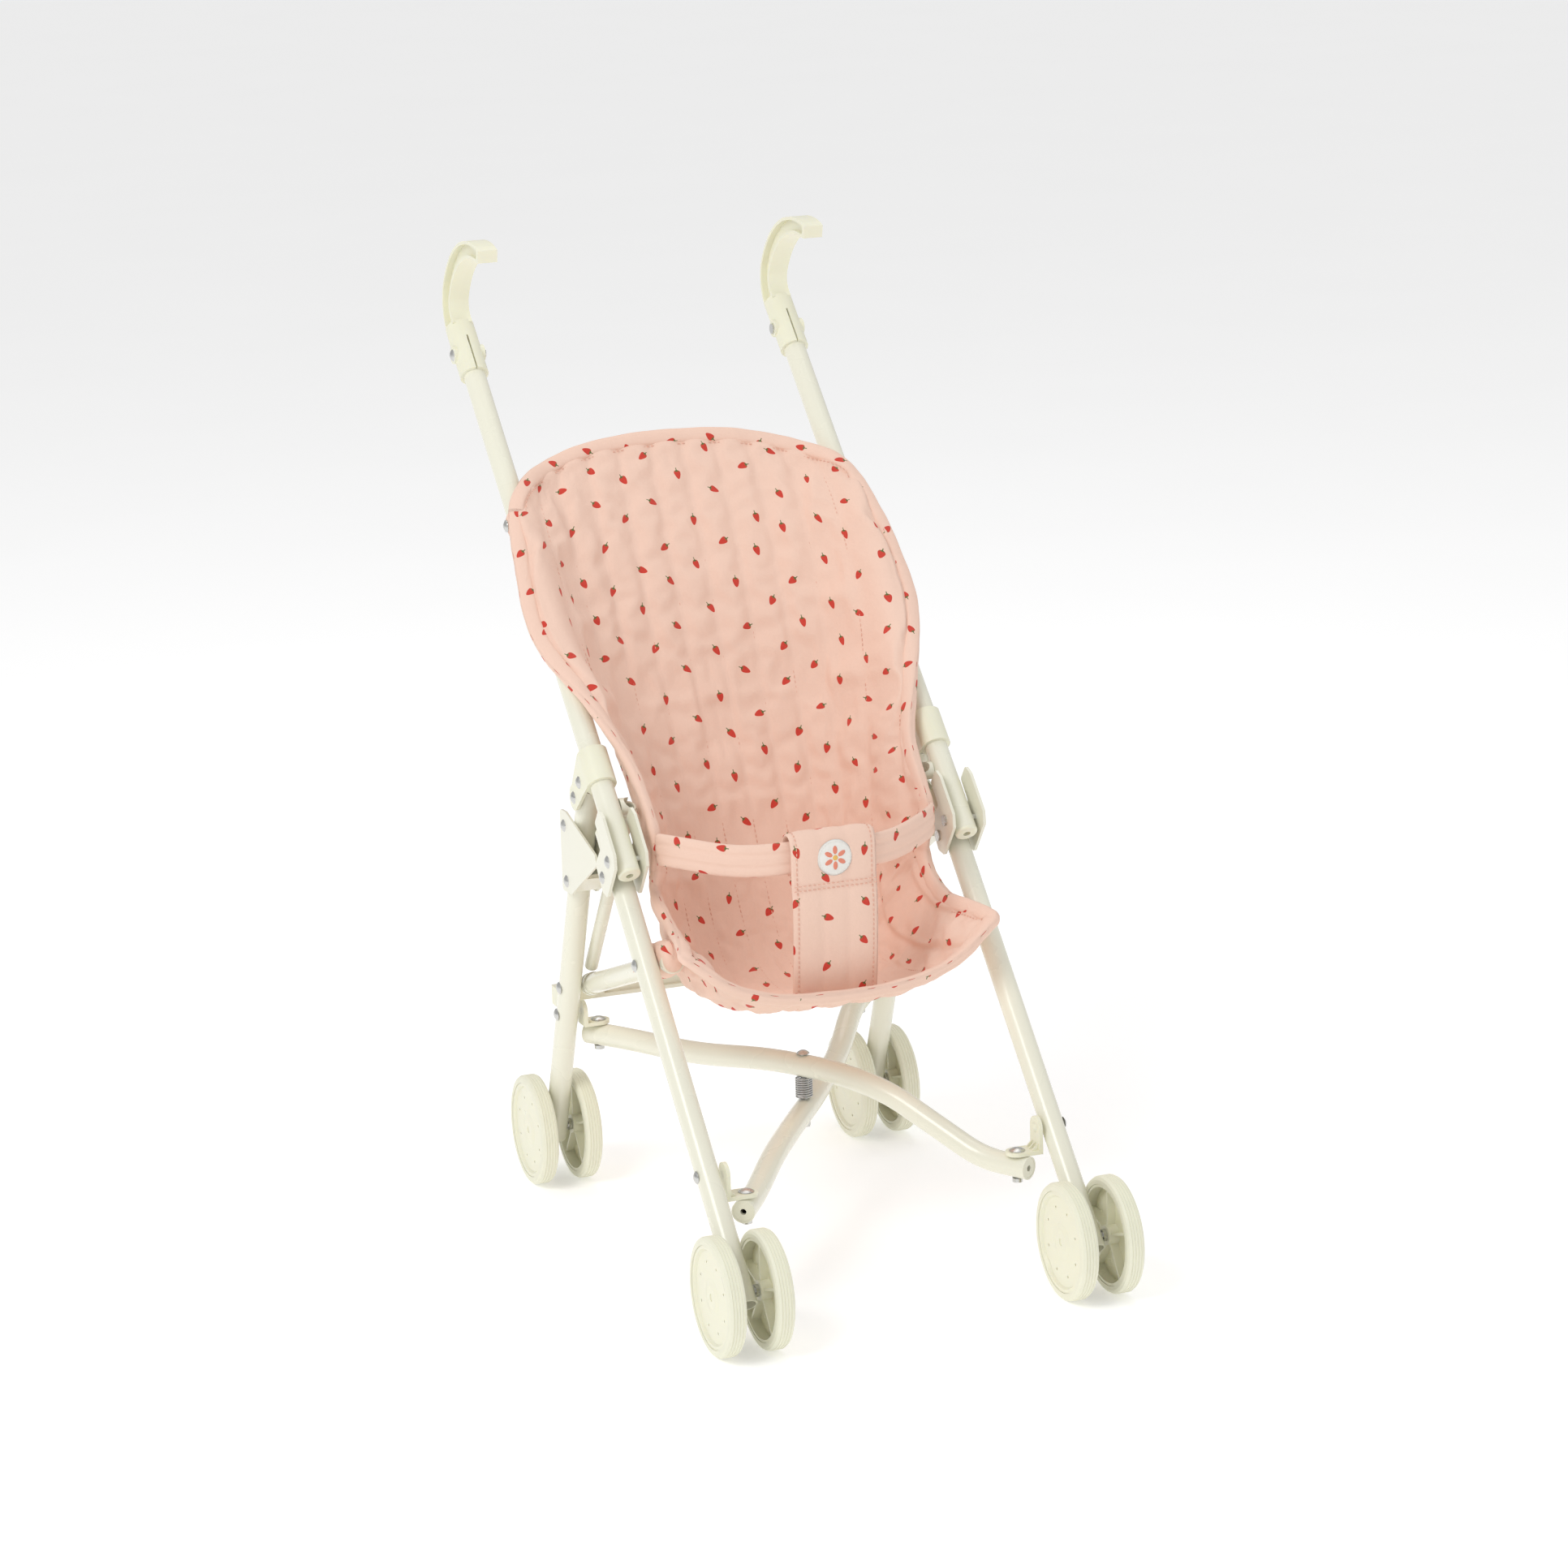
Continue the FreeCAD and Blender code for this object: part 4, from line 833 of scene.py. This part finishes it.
def dome(name, centre, reach_x, reach_z, height, turn, material, rings, around):
    """A low oval mound that faces forward, closed at its back."""
    points = [centre + Vector((0, -height, 0))]
    for ring in range(1, rings + 1):
        share = ring / rings
        rise = height * math.sqrt(max(0.0, 1 - share ** 2.6))
        for k in range(around):
            angle = 2 * math.pi * k / around
            flat = Vector((reach_x * share * math.cos(angle), 0, reach_z * share * math.sin(angle)))
            flat.rotate(Matrix.Rotation(turn, 3, "Y"))
            points.append(centre + flat + Vector((0, -rise, 0)))
    back = len(points)
    points.append(centre + Vector((0, 0.0004, 0)))
    faces = [(0, 1 + k, 1 + (k + 1) % around) for k in range(around)]
    for ring in range(rings - 1):
        a, b = 1 + ring * around, 1 + (ring + 1) * around
        for k in range(around):
            n = (k + 1) % around
            faces.append((a + k, b + k, b + n, a + n))
    last = 1 + (rings - 1) * around
    faces += [(back, last + (k + 1) % around, last + k) for k in range(around)]
    uvs = [(p.x, p.z) for p in points]
    piece = mesh_piece(name, points, faces, uvs, material)
    face_outwards(piece)
    return piece


patch = dome("strap_patch", Vector((0, patch_y, patch_z)), PATCH_R, PATCH_R, 1.3 * MM, 0.0, FELT, 9, 48)
soft_piece(patch)
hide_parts("strap_badge")
for number in range(6):
    angle = 2 * math.pi * number / 6
    spot = Vector((5.0 * MM * math.sin(angle), patch_y - 0.95 * MM, patch_z + 5.0 * MM * math.cos(angle)))
    petal = dome("daisy_petal_%d" % number, spot, 1.75 * MM, 3.1 * MM, 0.75 * MM, angle, PETAL, 5, 16)
    soft_piece(petal)
spot = Vector((0, patch_y - 1.1 * MM, patch_z))
button = dome("daisy_button", spot, 1.9 * MM, 1.9 * MM, 0.9 * MM, 0.0, BUTTON, 5, 16)
soft_piece(button)
print("patch stands at", round(patch_y, 4))

# %% [markdown]
# ## Stitching
#
# There are thousands of stitches, so they are made by one Geometry Nodes tree:
# it takes lines, drops a point every few millimetres, and puts a small thread
# grain on each, turned along the line.

# %% The stitching tree
def stitch_tree():
    tree = bpy.data.node_groups.new("stitches", "GeometryNodeTree")
    face = tree.interface
    face.new_socket("Geometry", in_out="INPUT", socket_type="NodeSocketGeometry")
    for name in ("Pitch", "Length", "Thread"):
        face.new_socket(name, in_out="INPUT", socket_type="NodeSocketFloat")
    face.new_socket("Material", in_out="INPUT", socket_type="NodeSocketMaterial")
    face.new_socket("Geometry", in_out="OUTPUT", socket_type="NodeSocketGeometry")
    nodes, links = tree.nodes, tree.links
    given, result = nodes.new("NodeGroupInput"), nodes.new("NodeGroupOutput")
    curve = nodes.new("GeometryNodeMeshToCurve")
    spaced = nodes.new("GeometryNodeResampleCurve")
    spaced.mode = "LENGTH"
    along = nodes.new("GeometryNodeInputTangent")
    turned = nodes.new("FunctionNodeAlignRotationToVector")
    turned.axis = "X"
    grain = nodes.new("GeometryNodeMeshUVSphere")
    grain.inputs["Segments"].default_value = 6
    grain.inputs["Rings"].default_value = 4
    grain.inputs["Radius"].default_value = 1.0
    size = nodes.new("ShaderNodeCombineXYZ")
    half = nodes.new("ShaderNodeMath")
    half.operation = "MULTIPLY"
    half.inputs[1].default_value = 0.5
    placed = nodes.new("GeometryNodeInstanceOnPoints")
    real = nodes.new("GeometryNodeRealizeInstances")
    finish = nodes.new("GeometryNodeSetMaterial")
    links.new(given.outputs["Geometry"], curve.inputs[0])
    links.new(curve.outputs[0], spaced.inputs["Curve"])
    links.new(given.outputs["Pitch"], spaced.inputs["Length"])
    links.new(along.outputs[0], turned.inputs["Vector"])
    links.new(given.outputs["Length"], half.inputs[0])
    links.new(half.outputs[0], size.inputs[0])
    links.new(given.outputs["Thread"], size.inputs[1])
    links.new(given.outputs["Thread"], size.inputs[2])
    links.new(spaced.outputs[0], placed.inputs["Points"])
    links.new(grain.outputs[0], placed.inputs["Instance"])
    links.new(turned.outputs[0], placed.inputs["Rotation"])
    links.new(size.outputs[0], placed.inputs["Scale"])
    links.new(placed.outputs[0], real.inputs[0])
    links.new(real.outputs[0], finish.inputs["Geometry"])
    links.new(given.outputs["Material"], finish.inputs["Material"])
    links.new(finish.outputs[0], result.inputs[0])
    return tree


STITCHES = stitch_tree()
SOCKETS = {item.name: item.identifier for item in STITCHES.interface.items_tree if item.in_out == "INPUT"}


def stitched(name, lines, pitch=3.6, length=2.7, thread_r=0.36, material=None):
    """Stitches along polylines, as one plain mesh. Sizes in millimetres."""
    points, edges = [], []
    for line in lines:
        start = len(points)
        points += [tuple(p) for p in line]
        edges += [(start + k, start + k + 1) for k in range(len(line) - 1)]
    mesh = bpy.data.meshes.new(name)
    mesh.from_pydata(points, edges, [])
    piece = bpy.data.objects.new(name, mesh)
    bpy.context.scene.collection.objects.link(piece)
    modifier = piece.modifiers.new("stitches", "NODES")
    modifier.node_group = STITCHES
    modifier[SOCKETS["Pitch"]] = pitch * MM
    modifier[SOCKETS["Length"]] = length * MM
    modifier[SOCKETS["Thread"]] = thread_r * MM
    modifier[SOCKETS["Material"]] = material or SEAM_THREAD
    applied(piece)
    piece.data.polygons.foreach_set("use_smooth", [True] * len(piece.data.polygons))
    print(name, len(piece.data.polygons), "faces")
    return piece


# %% [markdown]
# The channel stitches lie in the seams on both faces of the seat, and a finer row
# runs all the way round beside the binding.

# %% Stitch the seat
def seam_line(across, side, start, end, count=150):
    """A line down a seam, on the doll's side (-1) or the back (1)."""
    line = []
    for k in range(count + 1):
        down = start + (end - start) * k / count
        line.append(seat_point(across, down) + seat_normal(across, down) * (side * (SEAM_HALF + 0.15 * MM)))
    return line


channel_seams = [s * sign for s in SEAMS[:-1] for sign in (1, -1)]
for label, side in (("front", -1), ("back", 1)):
    lines = [seam_line(across, side, 0.022, 0.978) for across in channel_seams]
    soft_piece(stitched("channel_stitches_" + label, lines))
    ring, _ = rim_path(INWARD_SIGN * 10.2 * MM, side * 2.0 * MM)
    soft_piece(stitched("rim_stitches_" + label, [ring + [ring[0]]], 3.2, 2.3))

# %% Stitch the belt, the strap and the patch
def beside(path, normals, offset, lift):
    """A path moved sideways in its band, and off its surface."""
    frames = path_frames(path, normals, False)
    return [p + f[1] * offset + f[2] * lift for p, f in zip(path, frames)]


belt_lines = [beside(belt_path, belt_normals, s * BELT_HALF, lift * 1.85 * MM)
              for s in (-BELT_SEAM, BELT_SEAM) for lift in (1, -1)]
soft_piece(stitched("belt_stitches", belt_lines, 3.2, 2.3))
strap_lines = [beside(strap_path, strap_normals, s * STRAP_HALF, lift * 1.55 * MM)
               for s in (-STRAP_EDGE_SEAM, STRAP_EDGE_SEAM) for lift in (1, -1)]
for z in (0.2565, 0.2535):
    strap_lines.append([Vector((x / 10 * 0.0275, -0.1212, z)) for x in range(-10, 11)])
soft_piece(stitched("strap_stitches", strap_lines, 3.2, 2.3))
edge = [Vector((10.9 * MM * math.cos(a), patch_y - 0.75 * MM, patch_z + 10.9 * MM * math.sin(a)))
        for a in [2 * math.pi * k / 60 for k in range(61)]]
soft_piece(stitched("patch_stitches", [edge], 2.0, 1.5, 0.24, FELT))

# %% [markdown]
# ## Tabs that hold the back rest
#
# Behind each wing a short tab of the same cloth loops round the push tube and is
# held by a snap. It is fixed to the tube, so it moves with the tube.

# %% Tabs and snaps
TUBE_R = 7.6 * MM
PUSH_LOW, PUSH_HIGH = Vector((0, -0.0565, 0.262)), Vector((0, 0.2543, 0.5634))
TAB_UP = 0.281           # metres up the push tube
up_tube = (PUSH_HIGH - PUSH_LOW).normalized()
ahead_of_tube = Vector((0, -up_tube.z, up_tube.y))


def tab(side, name):
    """A loop of band round the tube, drawn forward to the back of the wing."""
    sign = -1 if side == "left" else 1
    centre = PUSH_LOW + up_tube * TAB_UP + Vector((sign * 0.118, 0, 0))
    out = Vector((sign, 0, 0))
    path, normals = [], []
    for k in range(48):
        angle = 2 * math.pi * k / 48
        c, s = math.cos(angle), math.sin(angle)
        forward = 3.2 * MM if s > 0 else 0.0
        reach = TUBE_R + 1.3 * MM
        point = centre + out * (reach * c) + ahead_of_tube * (reach * s + forward)
        path.append(point)
        normals.append((out * c + ahead_of_tube * s).normalized())
    piece = sweep(name, path, normals, band_section(0.0065, 0.0010, (-0.7, 0.7), 10), COTTON, True, None, (0.4, 0.2))
    subdivided(piece)
    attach(piece, side + "_push")
    return centre, out


def snap(side, centre, out, name):
    """A domed snap with a rolled edge, turned about its own axis."""
    profile = [(0.0, 2.4), (1.6, 2.2), (2.8, 1.6), (3.3, 1.0), (3.6, 1.1), (4.1, 0.9), (4.3, 0.3), (4.3, -0.6),
               (0.0, -0.6)]
    up = up_tube
    across = out.cross(up).normalized()
    around = 28
    base = centre + out * (TUBE_R + 2.3 * MM)
    points, faces = [], []
    for radius, height in profile[1:-1]:
        for k in range(around):
            angle = 2 * math.pi * k / around
            turned = up * math.cos(angle) + across * math.sin(angle)
            points.append(base + turned * (radius * MM) + out * (height * MM))
    rows = len(profile) - 2
    for r in range(rows - 1):
        for k in range(around):
            n = (k + 1) % around
            faces.append((r * around + k, r * around + n, (r + 1) * around + n, (r + 1) * around + k))
    points += [base + out * (profile[0][1] * MM), base + out * (profile[-1][1] * MM)]
    top, bottom = len(points) - 2, len(points) - 1
    for k in range(around):
        n = (k + 1) % around
        faces.append((top, n, k))
        faces.append((bottom, (rows - 1) * around + k, (rows - 1) * around + n))
    piece = mesh_piece(name, points, faces, None, FINISHES["steel"])
    face_outwards(piece)
    subdivided(piece)
    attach(piece, side + "_push")


for side in ("left", "right"):
    centre, out = tab(side, side + "_tab")
    snap(side, centre, out, side + "_tab_snap")
print("tabs at", round(TAB_UP, 3), "m up the push tubes")

# %% [markdown]
# ## Pockets on the seat rails
#
# Under the front of the seat each rail ends in a padded pocket. The pocket is
# closed at its front by rounding the section off, and it moves with its rail.

# %% Rail pockets
RAIL_X = 101.8 * MM
RAIL_FRONT, RAIL_REAR = Vector((0, -0.084, 0.207)), Vector((0, 0.0806, 0.150))
POCKET_FROM, POCKET_TO, POCKET_RISE = -10.0 * MM, 50.0 * MM, 3.0 * MM


def pocket(side):
    sign = -1 if side == "left" else 1
    along = (RAIL_REAR - RAIL_FRONT).normalized()
    lift = Vector((sign * RAIL_X, 0, POCKET_RISE))
    steps = 28
    path = [RAIL_FRONT + lift + along * (POCKET_FROM + (POCKET_TO - POCKET_FROM) * (k / steps) ** 1.4)
            for k in range(steps + 1)]
    normals = [Vector((sign, 0, 0))] * len(path)

    def closing(share):
        """Round off the front end, and draw the rear end in a little."""
        front = math.sqrt(max(0.02, 1 - (1 - min(1.0, share / 0.45)) ** 2.4))
        rear = 1 - 0.12 * max(0.0, (share - 0.8) / 0.2) ** 2
        ripple = 1 + 0.025 * math.sin(share * 19 + sign)
        return front * rear * ripple, front * rear

    piece = sweep(side + "_rail_pocket", path, normals, rounded(0.0125, 0.0090, 14, 0.85), COTTON, False, closing,
                  (0.52, 0.1 * sign))
    subdivided(piece)
    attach(piece, side + "_push")
    low = [p + Vector((sign * 9.0 * MM, 0, -4.0 * MM)) for p in path[14:]]
    line = stitched(side + "_pocket_stitches", [low], 3.2, 2.3)
    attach(line, side + "_push")


for side in ("left", "right"):
    pocket(side)
print("pockets are", round((POCKET_TO - POCKET_FROM) * 1000), "mm long")

# %% [markdown]
# ## Floor, light and camera
#
# A pale floor, a bright soft room and three large lamps keep the shadows open, as
# in a shop's picture. The camera stands a little above the handles and looks down.

# %% Floor
def floor():
    tree = Tree("pale_floor")
    where = tree.coords()
    tint = tree.mix(tree.noise(where, 3.0), (0.90, 0.90, 0.90, 1.0), (0.93, 0.93, 0.93, 1.0))
    material = tree.finish(tint, 0.9)
    tree.set(Emission_Strength=0.30)
    tree.shader.inputs["Emission Color"].default_value = (1.0, 1.0, 1.0, 1.0)
    reach = 14.0
    corners = [(-reach, -reach, 0), (reach, -reach, 0), (reach, reach, 0), (-reach, reach, 0)]
    piece = mesh_piece("floor", corners, [(0, 1, 2, 3)], None, material)


floor()

# %% Light
world = bpy.data.worlds.new("soft_room")
bpy.context.scene.world = world
world.use_nodes = True
room = world.node_tree.nodes["Background"]
room.inputs["Color"].default_value = (1.0, 1.0, 1.0, 1.0)
ROOM_LIGHT, ROOM_SEEN = 0.58, 1.0     # what lights the stroller, and what the camera sees
ray = world.node_tree.nodes.new("ShaderNodeLightPath")
strength = world.node_tree.nodes.new("ShaderNodeMath")
strength.operation = "MULTIPLY_ADD"
strength.inputs[1].default_value = ROOM_SEEN - ROOM_LIGHT
strength.inputs[2].default_value = ROOM_LIGHT
world.node_tree.links.new(ray.outputs["Is Camera Ray"], strength.inputs[0])
world.node_tree.links.new(strength.outputs[0], room.inputs["Strength"])


def lamp(name, place, size, power, target=(0, 0, 0.3)):
    data = bpy.data.lights.new(name, "AREA")
    data.size = size
    data.energy = power
    piece = bpy.data.objects.new(name, data)
    piece.location = place
    piece.rotation_euler = (Vector(target) - Vector(place)).to_track_quat("-Z", "Y").to_euler()
    bpy.context.scene.collection.objects.link(piece)


lamp("key", (-2.0, -1.2, 2.4), 1.3, 34)
lamp("fill", (2.2, -1.6, 1.2), 2.2, 6)
lamp("top", (0.3, 0.8, 2.6), 1.6, 12)
bpy.context.scene.view_settings.view_transform = "Standard"

# %% Camera
data = bpy.data.cameras.new("camera")
data.sensor_width = 36.0
data.lens = 105.35
data.clip_end = 60.0
camera = bpy.data.objects.new("camera", data)
right = Vector((0.93470078, -0.35406447, -0.03118989))
up = Vector((0.11207535, 0.21031671, 0.97118793))
back = Vector((-0.33730339, -0.91126573, 0.23626509))
turn = Matrix((right, up, back)).transposed()
camera.matrix_world = Matrix.Translation((-1.01645, -2.77744, 1.01407)) @ turn.to_4x4()
bpy.context.scene.collection.objects.link(camera)
bpy.context.scene.camera = camera
print("camera is", round(camera.location.length, 2), "m from the stroller")
